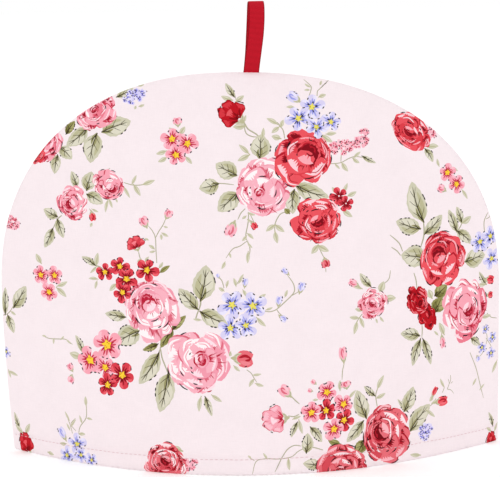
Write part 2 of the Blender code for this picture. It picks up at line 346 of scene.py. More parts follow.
class Pen:
    """Draws a motif as flat shapes, in painter's order. A path is complex numbers, in millimetres on the
    cloth, or pairs (u, v) in the motif, which place puts on the cloth, or such pairs as text."""

    def __init__(self, shapes, tone, dice, place):
        self.shapes, self.tone, self.dice, self.place = shapes, tone, dice, place

    def points(self, path):
        if isinstance(path, str):
            path = np.reshape([float(number) for number in path.split()], (-1, 2))
        return np.array(path if np.iscomplexobj(path) else [self.place(u, v) for u, v in path])

    def fill(self, path, tone):
        """A closed shape with straight sides."""
        self.shapes.append((self.points(path), self.tone[tone]))

    def patch(self, path, tone):
        """A closed shape, smooth through a few points."""
        p = self.points(path)
        self.fill(spline(np.roll(p, 1), p, np.roll(p, -1), np.roll(p, -2), 2), tone)

    def stroke(self, path, width, tone, start=0.0, end=0.0):
        """A brush stroke along a smooth curve, widest in the middle, with shares of that at its ends."""
        path = smooth(self.points(path))
        t = np.linspace(0.0, 1.0, len(path))
        swell = start * (1 - t) + end * t
        side = np.gradient(path)
        side = 1j * side / np.abs(side) * width / 2 * (swell + (1 - swell) * np.sin(np.pi * t) ** 0.6)
        self.fill(np.concatenate([path + side, (path - side)[::-1]]), tone)

    def brushed(self, near, far, angle, sweep, teeth, tone):
        """A patch that is smooth along one edge, and runs out in brush marks toward the other."""
        edge = [(near, angle + sweep * u) for u in np.linspace(-0.5, 0.5, 6)]
        slant = sweep * self.dice.uniform(-0.16, 0.16)
        for k in range(2 * teeth, 0, -1):
            u = k / (2 * teeth + 1) - 0.5
            reach = self.dice.uniform(*((0.70, 1.15) if k % 2 else (0.35, 0.75))) * (1 - (1.7 * u) ** 2)
            edge.append((near + (far - near) * reach, angle + sweep * u + slant * reach))
        self.fill(edge, tone)


def dot(centre, length, width, turn, wave, phase, count):
    """A small rounded patch, with a soft wave round its edge."""
    angles = np.arange(count) * 2 * math.pi / count
    swell = 1 + wave * np.cos(4 * angles + phase)
    return centre + (length * np.cos(angles) + 1j * width * np.sin(angles)) * swell * turned(turn)


def lying(centre, length, width, turn):
    """Places in a motif of this length and width, which run from -1 to 1 each way."""
    return lambda u, v: centre + turned(turn) * (u * length + 1j * v * width) / 2


def leaf(shapes, base, tip, width, tone, dice):
    """A leaf with a lit side, a dark heart, veins and a broken dark edge."""
    run = tip - base
    length = abs(run)
    bend, side = dice.uniform(-0.05, 0.05), dice.choice((-1, 1))
    small = length < SMALL_LEAF
    width *= 0.84 if small else 1.0
    tooth = 0.035 if length > 9 else 0.0

    def place(u, v):
        return base + run * (u + 1j * side * (v * width / length / 2 + bend * math.sin(math.pi * u)))

    def rim(u):
        return math.sin(math.pi * u**0.82) ** 0.78

    pen = Pen(shapes, tone, dice, place)
    edge = [(u, rim(u) + tooth * (-1) ** k) for k, u in enumerate(np.linspace(0.0, 1.0, 12))]
    pen.fill(edge + [(u, -v) for u, v in edge[-2:0:-1]], "base")
    if small:
        pen.stroke("-0.1 0  0.3 -0.08  0.8 0", width * 0.26, "heart", 0.8)
        pen.stroke("0.3 0.35  0.55 0.40  0.8 0.2", width * 0.2, "light")
        return
    pen.patch("0.25 0.30  0.50 0.18  0.86 0.10  0.72 0.62  0.42 0.82", "light")
    pen.stroke("0.02 -0.02  0.16 -0.34  0.42 -0.52  0.74 -0.36", width * 0.24, "heart")
    pen.stroke("-0.04 0  0.14 0.24  0.38 0.20", width * 0.13, "shade", 0.5)
    pen.stroke("0 0  0.20 -0.10  0.46 -0.12", width * 0.12, "shade", 0.6)
    pen.stroke("-0.04 0  0.40 0.02  0.90 0", 0.36 + length * 0.014, "vein", 1.0)
    pen.stroke("0.02 0.05  0.14 0.16  0.28 0.30", 0.20 + length * 0.014, "ink", 1.0)
    for k in range(4 if length < LONG_LEAF else 6):
        u = 0.10 + 0.26 * (k // 2) + dice.uniform(-0.02, 0.03)
        v = (1 if k % 2 else -1) * 0.72 * rim(min(u + 0.24, 0.95))
        pen.stroke([(u, 0.0), (u + 0.10, v * 0.5), (u + 0.22, v)], 0.34, "vein", 0.9)
    for way, start in ((1, 0.52), (-1, 0.30)):
        for k in range(dice.randint(0, 3)):
            u = start + 0.13 * k + dice.uniform(-0.03, 0.03)
            if u < 0.86:
                pen.stroke([(u, way * rim(u)), (u + 0.09, way * rim(u + 0.09))], 0.80, "ink", 0.6, 0.3)


def flower(shapes, centre, size, turn, tone, dice):
    """An open flower of round petals, brushed from the middle, with a star for an eye."""
    wide = tone["petal"]
    half = [(0.10, 0.07), (0.38, 0.28), (0.68, 0.42), (0.93, 0.31), (1.02, 0.08)]
    for k in range(5):
        way = turned(turn + 72 * k + dice.uniform(-8, 8)) * size * dice.uniform(0.88, 1.06)
        pen = Pen(shapes, tone, dice, lambda u, v, way=way: centre + way * (u + 1j * v * wide))
        pen.patch(half + [(u, -v) for u, v in half[::-1]], "base")
        side = dice.choice((-1, 1))
        pen.stroke([(0.40, 0.20 * side), (0.72, 0.30 * side), (0.95, 0.10 * side)], size * 0.22, "edge")
        for v, end in ((0.21, 0.62), (-0.02, 0.78), (-0.25, 0.60)):
            end *= dice.uniform(0.85, 1.12)
            pen.stroke([(0.10, v * 0.3), (end * 0.6, v * 0.7), (end, v)], 0.25 + size * 0.085, "deep", 0.9)
        pen.stroke("0.16 -0.05  0.50 -0.08", 0.34 + size * 0.05, "core", 0.6)
        for s in (-1, 1):
            if dice.random() < 0.55:
                u = dice.uniform(0.55, 0.85)
                edge = [(u, (0.47 - 0.2 * (u - 0.5)) * s), (u + 0.17, (0.34 - 0.5 * (u - 0.6)) * s)]
                pen.stroke(edge, 0.78, "ink", 0.5, 0.3)
    if "eye" not in tone:
        return
    pen = Pen(shapes, tone, dice, lambda f, degrees: centre + size * f * turned(degrees))
    for _ in range(4):
        way = dice.uniform(0, 360)
        pen.stroke([(0.22, way), (dice.uniform(0.40, 0.52), way)], 0.62, "core", 0.8, 0.2)
    tips = [0.72 if k % 2 else dice.uniform(0.95, 1.35) for k in range(10)]
    pen.fill([(tip * 0.30 * wide, turn + 36 * k) for k, tip in enumerate(tips)], "eye")
    for _ in range(4):
        spot = pen.place(0.15, dice.uniform(0, 360))
        pen.fill(dot(spot, size * 0.05, size * 0.04, 0, 0.0, 0.0, 5), "pollen")


class Rose(Pen):
    """A full rose: rings of petals that close in on a cup, brushed with light and shade.

    In form, cup_x and cup_y say where the rings close, with the rim at 1, hollow how wide the cup
    stands open, glow the side that the light petals are on, and pale how light they are."""

    def __init__(self, shapes, centre, size, tone, dice, form):
        flat, cup = turned(form["lean"]), complex(form["cup_x"], form["cup_y"])

        def place(f, degrees):
            z = (cup * (1 - f) + f * turned(degrees)) / flat
            return centre + size * flat * (z.real + 1j * z.imag * form["squash"])

        super().__init__(shapes, tone, dice, place)
        self.size, self.turn, self.glow, self.pale = size, form["turn"], form["glow"], form["pale"]
        self.cup, self.wide_open = max(form["hollow"], SMALLEST_CUP), form["hollow"] > WIDE_OPEN
        self.ink_width = 0.36 + 0.02 * size

    def draw(self):
        rings = [ring for ring in PETAL_RINGS if ring[0] > self.cup + HEEL]
        closing = [ring[0] for ring in rings[1:]] + [self.cup]
        for number, (ring, following) in enumerate(zip(rings, closing, strict=True)):
            self.ring(number, *ring, following)
        self.heart()

    def nearby(self, spread):
        return self.dice.uniform(-spread, spread)

    def petal(self, angle, sweep, outer, inner, colour, phase, curl):
        rim = []
        for u in np.linspace(-1.0, 1.0, 11):
            wave = 0.032 * math.cos(7 * u + phase)
            rim.append((outer * (1 - curl * abs(u) ** 2.6 + wave), angle + sweep / 2 * u))
        self.fill([*rim, (inner, angle + sweep * 0.3), (inner, angle - sweep * 0.3)], colour)

    def dash(self, f, angle, sweep, width, colour):
        """A stroke round a ring."""
        arc = [(f, angle - sweep / 2), (f * 1.01, angle), (f, angle + sweep / 2)]
        self.stroke(arc, width, colour, 0.3, 0.2)

    def ring(self, number, outer, petals, sweep, following):
        """A ring of petals, every other one on top, down to where the following ring starts."""
        dice, heel, curl = self.dice, following - HEEL, 0.24 if number else 0.34
        for k in [*range(0, petals, 2), *range(1, petals, 2)]:
            angle = self.turn + 360 / petals * k + 31 * number + self.nearby(14)
            reach, spread = outer * dice.uniform(0.90, 1.06), sweep * dice.uniform(0.88, 1.20)
            phase, side = dice.uniform(0, 6), dice.choice((-1, 1))
            lit = 0.5 + 0.5 * math.cos(math.radians(angle - self.glow))
            shadow = "deep" if dice.random() > self.pale * 0.7 else "mid"
            shadow_reach = reach * (1.01 if number else 0.97)
            self.petal(angle + 7 * side, spread, shadow_reach, heel, shadow, phase, curl)
            body = "mid" if dice.random() < 0.3 - 0.3 * lit else "base"
            self.petal(angle, spread, reach, heel, body, phase, curl)
            if dice.random() < 0.25 + self.pale:
                self.lighten(angle, sweep, reach, following, side, lit * self.pale)
            if dice.random() < 0.15 + 0.3 * self.pale:
                self.roll_over(angle, sweep * dice.uniform(0.22, 0.40) * side, reach, lit * self.pale)
            if dice.random() > self.pale * 0.5:
                self.darken(angle, sweep, reach, following, side, lit)
            if dice.random() < 0.55:
                colour, arc = "ink" if phase > 1.5 else "core", (5 + 3 * phase) / reach
                self.dash(reach * 0.99, angle + self.nearby(18), arc, self.ink_width, colour)

    def lighten(self, angle, sweep, reach, following, side, bright):
        """Light brush marks, in from a petal's rim."""
        shine, room = "white" if bright > 0.36 else "light", reach - following
        far = reach * 0.90 - room * (0.35 + 0.75 * bright + self.nearby(0.08))
        middle = angle - 9 * side + self.nearby(6)
        self.brushed(reach * 0.90, far, middle, sweep * self.dice.uniform(0.42, 0.60), 5, shine)
        if bright > 0.4 and self.dice.random() < 0.6:
            middle += 14 * side
            self.brushed(following, following + room * 0.55, middle, sweep * 0.3, 3, "base")

    def roll_over(self, angle, span, reach, bright):
        """A rim that rolls outward: a light line with its shadow under it."""
        shine, shadow = "white" if bright > 0.3 else "light", "mid" if self.pale > 0.7 else "deep"
        rolled, under = ((0.92, -1.0), (0.94, 0.0), (0.80, 1.0)), ((0.86, -0.8), (0.87, 0.0), (0.71, 1.1))
        self.stroke([(reach * f, angle + span * u) for f, u in rolled], self.size * 0.06, shine, 0.3, 0.1)
        self.stroke([(reach * f, angle + span * u) for f, u in under], self.size * 0.028, shadow, 0.6)

    def darken(self, angle, sweep, reach, following, side, lit):
        """Dark brush marks, out from a petal's heel."""
        heel, middle = following - HEEL, angle + 15 * side
        marks = following + (reach - following) * self.dice.uniform(0.55, 0.95) * (1.05 - 0.5 * lit)
        self.brushed(heel, marks, middle, sweep * 0.46, 5, "deep")
        if self.dice.random() < 0.9 - 0.6 * self.pale:
            self.brushed(heel, heel + (marks - heel) * 0.8, middle, sweep * 0.28, 3, "core")
        for _ in range(3):
            way = middle + self.nearby(sweep * 0.24)
            tip = heel + (marks - heel) * self.dice.uniform(0.7, 1.35)
            self.stroke([(heel + 0.03, way), (tip, way + 5 * side)], 0.50, "core", 1.0)

    def heart(self):
        """The cup in the middle: dark where it stands open, and wound round where it is closed."""
        cup, glow, away, wide_open = self.cup, self.glow, self.glow + 180, self.wide_open
        hole = [(cup * (1 + 0.06 * math.cos(6 * math.pi * k / 14)), 360 * k / 14) for k in range(14)]
        self.fill(hole, "core" if wide_open else "deep")
        self.brushed(cup * 1.03, cup * (0.55 if wide_open else 0.25), away, 230, 8, "base")
        self.brushed(cup * 1.03, cup * 0.60, away + 20, 150, 6, "mid")
        if wide_open:
            self.brushed(cup * 0.20, cup * 0.75, away - 15, 170, 6, "deep")
        self.petal(glow, 140, cup * 1.10, cup * (0.25 if wide_open else 0.0), "base", 0.0, 0.35)
        self.brushed(cup * 0.98, cup * 0.30, glow + 12, 90, 3, "light")
        for f, angle, sweep in ((0.78, away + 60, 80), (0.50, away - 20, 110), (0.42, glow + 30, 120)):
            self.dash(cup * f, angle, sweep, self.size * 0.055, "core" if f < 0.6 else "deep")
        if not wide_open:
            for f, angle in ((0.30, 180), (0.62, 310), (0.66, 120), (0.95, 40), (1.0, -60)):
                self.dash(cup * f, glow + angle, 80, self.size * 0.05, "core")
        for _ in range(4):
            self.dash(self.dice.uniform(0.35, 0.75), self.dice.uniform(0, 360), 12, self.ink_width, "ink")


def calyx(pen, size):
    """Two sepals and the green cup that they grow from, at the foot of a bloom."""
    for side in (-1, 1):

        def place(u, v, side=side):
            return pen.place(-0.85 + u * size, side * v * size)

        green = Pen(pen.shapes, TONES["sage"], pen.dice, place)
        green.patch("-0.55 0.05  -0.30 0.70  0.45 1.15  1.05 1.05  0.35 0.55  0.15 0", "base")
        green.stroke("-0.3 0.3  0.1 0.72  0.7 0.92", 0.32, "shade")
    green.patch("-0.95 0.16  -0.2 0.42  0.1 0  -0.2 -0.42  -0.95 -0.16", "heart")


def bud(shapes, centre, length, width, turn, tone, dice):
    """A closed bud on its calyx. turn points from the calyx to the tip."""
    pen = Pen(shapes, tone, dice, lying(centre, length, width, turn))
    pen.patch("-0.9 0.1  -0.5 0.85  0.3 0.95  0.95 0.60  0.80 0.10  1.0 -0.45  0.5 -0.9  -0.4 -0.85", "base")
    pen.stroke("-0.4 -0.3  0.2 -0.5  0.75 -0.4", width * 0.22, "edge")
    pen.stroke("-0.6 0.05  0.1 0.35  0.80 0.10", width * 0.17, "deep")
    pen.stroke("0.75 0.15  0.5 -0.1  0.1 -0.15", width * 0.13, "deep")
    calyx(pen, 0.55)
    if length > 4.5:
        for _ in range(3):
            u, s = dice.uniform(-0.1, 0.75), dice.choice((-1, 1))
            pen.stroke([(u, 0.90 * s), (u + 0.26, 0.74 * s)], 0.66, "ink", 0.5, 0.3)


def side_rose(shapes, centre, length, width, turn, tone, dice):
    """A rose seen from the side: ruffled lobes spread from a small calyx, brushed outward."""
    place = lying(centre, length, width, turn)

    def fan(f, degrees):
        """Rings about the calyx end, from 0 there to 1 at the petals' rim."""
        z = f * turned(degrees)
        return place(-0.85 + 1.85 * z.real, 1.22 * z.imag)

    calyx(Pen(shapes, tone, dice, place), 0.36)
    pen = Pen(shapes, tone, dice, fan)
    for angle, f, wide in ((58, 0.84, 44), (-56, 0.88, 44), (22, 0.98, 52), (-20, 1.0, 52)):
        for grow, colour in ((1.0, "deep"), (0.965, "base")):
            rim = []
            for u in np.linspace(-1, 1, 9):
                ruffle = 1 - 0.2 * abs(u) ** 2.5 + 0.04 * math.cos(6 * u + f * 40)
                rim.append((f * grow * ruffle, angle + wide / 2 * u * grow))
            pen.fill([*rim, (0.1, angle)], colour)
        pen.brushed(f * 0.90, f * 0.58, angle + dice.uniform(-6, 6), wide * 0.7, 3, "edge")
        pen.brushed(0.12, f * 0.74, angle + dice.uniform(-8, 8), wide * 0.55, 3, "deep")
    pen.brushed(0.10, 0.74, 2, 100, 6, "deep")
    heart = [(0.66 * (1 - 0.25 * abs(u) ** 2.5), 34 * u) for u in np.linspace(-1, 1, 8)]
    pen.fill([*heart, (0.12, 0)], "base")
    pen.brushed(0.60, 0.26, 6, 46, 3, "light")
    pen.brushed(0.12, 0.50, -14, 34, 3, "deep")
    pen.brushed(0.10, 0.34, 8, 40, 2, "core")
    for _ in range(5):
        a = dice.uniform(-70, 70)
        pen.stroke([(0.93, a - 4), (0.93, a + 4)], 0.7, "ink", 0.5, 0.3)


def spray(shapes, centre, length, width, turn, tone, dice):
    """A loose head of tiny blossoms with dark flecks."""
    pen = Pen(shapes, tone, dice, lying(centre, length, width, turn))
    spots = []
    for _ in range(int(length * width * BLOSSOMS) + 6):
        u = dice.uniform(-1, 1)
        spots.append(pen.place(u, dice.uniform(-1, 1) * math.sqrt(max(0.05, 1 - u * u)) * (0.85 - 0.15 * u)))
    for z in spots:
        r = dice.uniform(1.25, 1.85)
        blossom = dot(z, r, r * 0.8, dice.uniform(0, 180), 0.2, dice.uniform(0, 6), 9)
        pen.fill(blossom, dice.choice(("base", "edge")))
    for z in spots[::2]:
        d = 0.75 * turned(dice.uniform(0, 180))
        pen.stroke([z - d, z + d], 0.85, "deep", 0.3, 0.3)
    for z in spots:
        z += dice.uniform(0.6, 1.6) * turned(dice.uniform(0, 360))
        d = 0.40 * turned(dice.uniform(0, 180))
        pen.stroke([z - d, z + d], 0.66, "ink" if dice.random() < 0.6 else "core", 0.5, 0.4)


# ---------------------------------------------------------------------------
# The print's layout: places are across and down the layout sheet, sizes in its steps.

ROSES = """ x y size turn lean squash tone cup_x cup_y hollow glow pale seed
264 186 29.5 20 0 1.0 pink -0.18 -0.26 0.16 110 0.85 103
303 158 28.5 330 0 1.0 coral 0.34 0.30 0.42 235 0.55 103
317 221 26.5 40 0 0.92 coral 0.06 -0.08 0.30 120 0.62 104
152 310.5 31.5 120 100 0.90 pink -0.20 0.40 0.32 290 0.90 103
198.5 361.5 35 20 100 0.95 pink 0.12 0.06 0.24 160 0.92 104
443 258.5 28.5 80 90 0.88 coral -0.30 0.28 0.34 290 0.42 105
465.5 308 33.5 250 100 0.79 rosy 0.18 -0.12 0.26 120 0.62 104
387 434 29.5 180 100 0.90 blush -0.42 0.12 0.36 20 0.45 105
342 468 26 60 0 0.95 blush -0.10 -0.10 0.20 60 0.40 105
411 131 24 200 132 0.68 coral -0.20 -0.10 0.30 60 0.52 103
96 111.5 22.5 30 32 0.82 rosy -0.10 0.10 0.22 120 0.62 103
44 143.5 20.5 200 45 0.86 rosy 0.10 0.10 0.24 60 0.35 104
37 154.5 10.5 90 45 0.8 coral 0.10 0.10 0.30 60 0.30 104
73 203 17.5 160 0 0.98 rosy -0.30 -0.12 0.34 20 0.62 104
108 184 17 300 150 0.92 rosy 0.30 -0.42 0.34 120 0.62 107
373 304 15.5 90 0 1.0 rosy -0.10 0.00 0.26 60 0.45 106
165 463 21.5 300 0 0.95 blush 0.00 0.10 0.28 60 0.62 103
427.5 316.5 14.5 120 110 0.72 scarlet 0.20 0.30 0.30 200 0.20 104
417.5 300 15.5 30 120 0.78 scarlet 0.30 -0.30 0.30 330 0.80 104
"""

FLOWERS = """ x y size turn tone
105 272 9.7 20 poppy
120 266.5 10.5 80 poppy
126.5 279 11.6 200 poppy
147 270 12.1 140 poppy
122.5 292.5 10.5 260 poppy
107 345 16.2 100 rosy
90 360 14.6 30 rosy
105 367.5 11.9 200 rosy
122 375.5 13.8 60 poppy
107.5 385 11.6 300 poppy
172 139 10.8 20 rosy
187.5 143.5 10.6 60 rosy
176 155 10.6 250 rosy
447.5 172.5 9.1 80 rosy
456.5 184 9.5 200 rosy
40.5 275 9.7 90 rosy
54.5 275.5 9.1 20 rosy
49 292 9.7 270 rosy
327 392 10.6 60 rosy
326 410.5 11 90 poppy
311.5 412.5 10.8 20 rosy
343.5 404 10.6 200 rosy
344 420 11 130 poppy
334 429 11.2 300 rosy
339 196 9.4 40 ruby
346 203.5 8.2 240 ruby
312 107 13.3 10 blue
298.5 118.5 13.3 50 blue
316.5 127 11 200 blue
331 122 10.4 80 blue
232 305 15.1 60 blue
253 306 15.1 100 blue
230.5 328 13.3 20 blue
246 325.5 12.2 250 blue
480 241.5 11.6 100 blue
490.5 236 10.4 30 blue
491.5 258.5 10.4 260 blue
485.5 329 4.9 0 blue
492.5 337 5.8 50 blue
482 347.5 6.3 100 blue
491 353 6 20 blue
77 444 11.4 20 blue
67 455 9.3 80 blue
81 455 8.1 200 blue
91.5 460 7.5 130 blue
6 352 5.8 130 blue
"""

BUDS = """ x y long wide turn tone
231 229.5 15 12 -115 pink
254 225.5 8.5 7 -60 coral
144 221.5 11 10.5 115 pink
168.5 214 9.5 9 60 pink
244 359 19 18 -5 blush
285 391 14 12 135 pink
343 354 15 9 95 pink
346 384.5 7.5 12 100 pink
434.5 391.5 11 5.6 60 coral
442 401 14.5 10.5 0 coral
490 279.5 10 9 -10 coral
490 294.7 7 7 0 coral
442.5 342 13 7 -80 pink
353.5 283.5 11 8 150 pink
325.6 263.5 9.5 9.5 -80 blush
92.4 216.5 9.5 7.5 -80 coral
177.5 121.5 8.5 9.5 95 pink
441.5 188.5 9 9 150 pink
70.5 367 8 8 120 pink
71 379 8 8 250 pink
293.5 97 13 11 140 blue
62.5 433 13 9 120 blue
285.3 271.5 9 5.5 135 blue
301.5 287.5 11 8 70 blue
279 301 10 7 80 blue
283 318.5 9 6.5 -40 blue
245.3 282.5 9 6 80 blue
218 275.8 5 4 120 blue
478 358.5 6 6 -60 blue
313.5 382 6 5 140 pink
310 390.5 5 4.5 160 pink
"""

SIDE_ROSES = """ x y long wide turn tone
231 113 27 29 140 scarlet
26 443 23 20 110 scarlet
491 439 17 15 95 scarlet
135 243 15 21 112 poppy
274 419.5 26 29 185 rosy
"""

SPRAYS = """ x y long wide turn tone
343 147 27 17 8 pink
362 141.5 12 13 20 pink
364.5 132 7 6 0 pink
431.5 132.5 9 14 70 pink
426 431.5 15 19 20 violet
134.5 96 21 15 20 violet
10 222 12 24 80 rosy
190 464.5 15 12 20 pink
"""

LEAVES = """ x y tip_x tip_y wide tone
260 158 261 134 20
262 138 263.5 127.5 4.5
236.5 175 215.5 164 19
218.5 184 199 188.5 16
237.5 193 218 211.5 19
248.6 153.5 238.8 144.5 5.5
249 155 237.5 161 6.5
277 124 266.5 118.2 5.5
281 127 283.5 119.5 4.8
279 127 271.5 133 5.5
280.5 138.5 271.5 136 7
234.5 97 225.5 83 6.5
232 100 221 96 6
236 101.5 244 95.5 6
244 122 246 115 3.5
245 126 233 127 8
294.5 107.5 286 107 3.8
326.5 134 336.5 133 5
322 135 332.5 142 6.5
296 185 329 197.5 17
294.5 190 292.5 214 15
336 193 332 187 4.5
343 192 347.5 183 4.5
348 196 356.5 191.5 5.5
343 210 352.5 217 6.5
289.5 213.5 284.5 208.5 6.5 olive
274.8 225 266 231.5 6
275.5 225 284.5 232 6
275 232 277.5 243.5 6
318 245.5 311.5 254 7
319 246 329 251.5 7
354 157.5 360.5 151.5 4
353 158.5 359.5 163 4.5
362 156 376 163 5
342 163 348 171.5 5.5
335 164 340 169 3
319 97 326 94.5 5
320 85 321.5 80.5 3
309.5 90 304 90 2.8
310 87 304.5 83.5 2.8
96 265.5 81.5 256.5 7
96.5 265 98 252.5 6
96.5 266.5 90 273 3.6
97.5 279 88.5 278.5 4
97 281 95 289 3.6
116 284 109.5 291 6
160 272.5 170 265.5 5.5 olive
159 268 163 262 4
200.4 300 206.5 265 23
197.8 309 178.5 288.5 15
200.6 311.5 228 325 17
201 320 193 319 3.5
125.5 317 105 313.5 11
139.5 331 116 343 21
158.5 353.5 139 384.5 17
168 374 160 412.5 20
172 330 186 315.5 8 olive
173 329 160.5 348 10 olive
158 344 142.5 350.5 7 olive
83.5 353 75.5 335 7.5
80.5 357 69.5 353 9
201 397.5 199 412 5.5
205 397 212 416.5 7
212 395.5 222 402 5
224 291 218.5 287.5 4.5
226.5 287 228.5 280 3.6
238.5 292 240 299.5 3.6
243 290 246.5 297 3.8
258.5 299 266 294 4.5
257 318 266 326.5 5
285 297 287.5 290 3.6
266 310 273 307.5 3
236 286 233.5 278 4
239 283 243.5 274 4
423.5 221 411.5 181.5 20
420 229 396 221 17
425 234 442 214.5 14
457 231.5 448.5 209.5 9.5
461.5 223 456.5 206.5 8
462 223 471 216 8
457 230.5 472 243.5 11
425 258.5 401 255.5 22
465.5 262 485 254 19
435 296 447 285 14 olive
434.5 312 442 297 16 olive
432 298 428.5 289.5 8
486 284.5 479 271.5 5.5
486 284 477 285.5 5
486 293.5 479 290.5 3.5
419.5 336 400.5 333.5 12.5
420.3 339 412.5 366 10.5
422.8 339 431 364.5 9
444 334 439 322.5 7
438 335 434 331 3
471 338 480 345 8
482 317.5 491 315 5
497 361 492 373 5
473 385 476.5 378 3.5
480 390 484.5 384 3
425 148.5 433 162 7.5
428 147 438.5 146 6.5
439 166 437 158.5 3.6
452 167 458 171 3.2
462 190 467.5 199 4
371 287 360 273.5 8
362 289 352.5 287 4
380 292 384 281.5 9
384.5 299.5 396 298 8.5
362 311 355 309 4.5
358.5 318 349.5 317.5 5
360 318 364 328 5
357 322 354 334.5 5.5
376 319 377.5 323.5 2.6
380 317 384 322 3
366 418 357 390 16
363.5 421 346.5 442 12
364 440 356 455 13 olive
340 444 328 440 8 olive
408 412 397.5 399 5
404 411 413.5 386.5 15
410 430.5 430 404 18
426 410 435 417 4.5
432 403 439 400 5
433 396 429.5 401.5 5
375 396 364 386 6.5
376.5 398 385.5 393 5
377.5 388.5 384 375 6
297.5 422 291 437.5 6
299 420.5 302.5 434 5
293 419 301 416 4
310.5 427 322 442 9
306.5 453 307.5 433 12
288.5 459 289.5 470.5 4.5
267 459.5 263 453 3
320.5 465.5 303 463.5 11
313 400 318.5 399.5 3
251 459 248 455.5 2.6
340 390 340 380 5
349 398 356 390 4
116.5 97 133.5 88 8
102.5 131.5 131 121 20
97 134 90 163 19
87 128 66.5 146 15
59.5 147.5 72 159 13
57.5 155 54.5 174 11
66 134 75 121 8 olive
139 106.5 144.5 104.5 3.4
136 106 134.5 109.5 3
138 86 144 84.5 3
174 133 169 127.5 4.5
180 134 185 126.5 6
166 151 156 154 5.5
166.5 157.5 158 162 5.5
186 157 192 164 5
76.5 187.5 71.5 171 9
86.5 190 92 171.5 15
87 194 103 203.5 13
57.5 217 43.5 209 11
57 219 63.5 238 10
53 228.5 44.5 247.5 10.5
132 184 136.5 175 4
134 185 140.5 196 5.5
143 184.5 155 180 5.5
124 187 130 198 4
108 200 105.5 212.5 4
109 199 112.5 208 3.6
116 199 117.5 202.5 2.4
92 209 98.5 212 3
92 223 90.5 227 3.6
41 263 36 253.5 7
57.5 286 67.5 281.5 5
57 288 66.5 297 6.5
5 314.5 5.5 287 8.5
14 307.5 26 286 14
7.5 315 14 333 10.5
11 311.5 16 315 3.6
9 371 18 375.5 4
8.5 370 11 378 3.6
19.5 428 14.5 412 6
23 433 15.5 424.5 6
25.5 433 30 423.5 6
66 444 59.5 443.5 4.5
48 452 54 455 4.5
69.5 420 65 411 3
71.5 426 76 419 3
70 430 66.5 423 3
82 423 79.5 415 3.2
86 405.5 85.5 396 4.5
87 418 92.5 419.5 3
79 434 85.5 434 4
182 451 170.5 447.5 8
420 455 410 454.5 5
70.5 343.5 66 339 2.6
54 338.5 53.5 344 2.8
61 339.5 64 336 2.4
46 336.5 42 335.5 2.6
225 262 221.5 269 4
229.5 253 231 258 2.8
248.2 252 247.5 263.5 4.5
247.8 243 252.5 248 3
246.5 236 242 241 4
247.5 233.5 253.5 239 4
246.2 216 242 219 3.4
248 213 255.5 215 3.4
247.5 219.5 252 222.5 3.4
148.5 240 144.5 238 3
154.5 249 148.5 245 4
155 251 149 252 3
162 233 168.5 236.5 3.6
161 234.5 161.5 240 3.4
164 226.5 168 227.5 2.6
141.5 259 137 262 3.6
145 262 149 256.5 3.6
230.5 352 228 356.5 6
234 366 240 371.5 4
253 375 261.5 374 3.4
254 379 249 387 4.4
255.5 383.5 264 386 4
444 386.8 440 378.3 3.6
493 426 488.5 412 5
491 431 486.5 428 4
494.5 431 498 422 4
"""

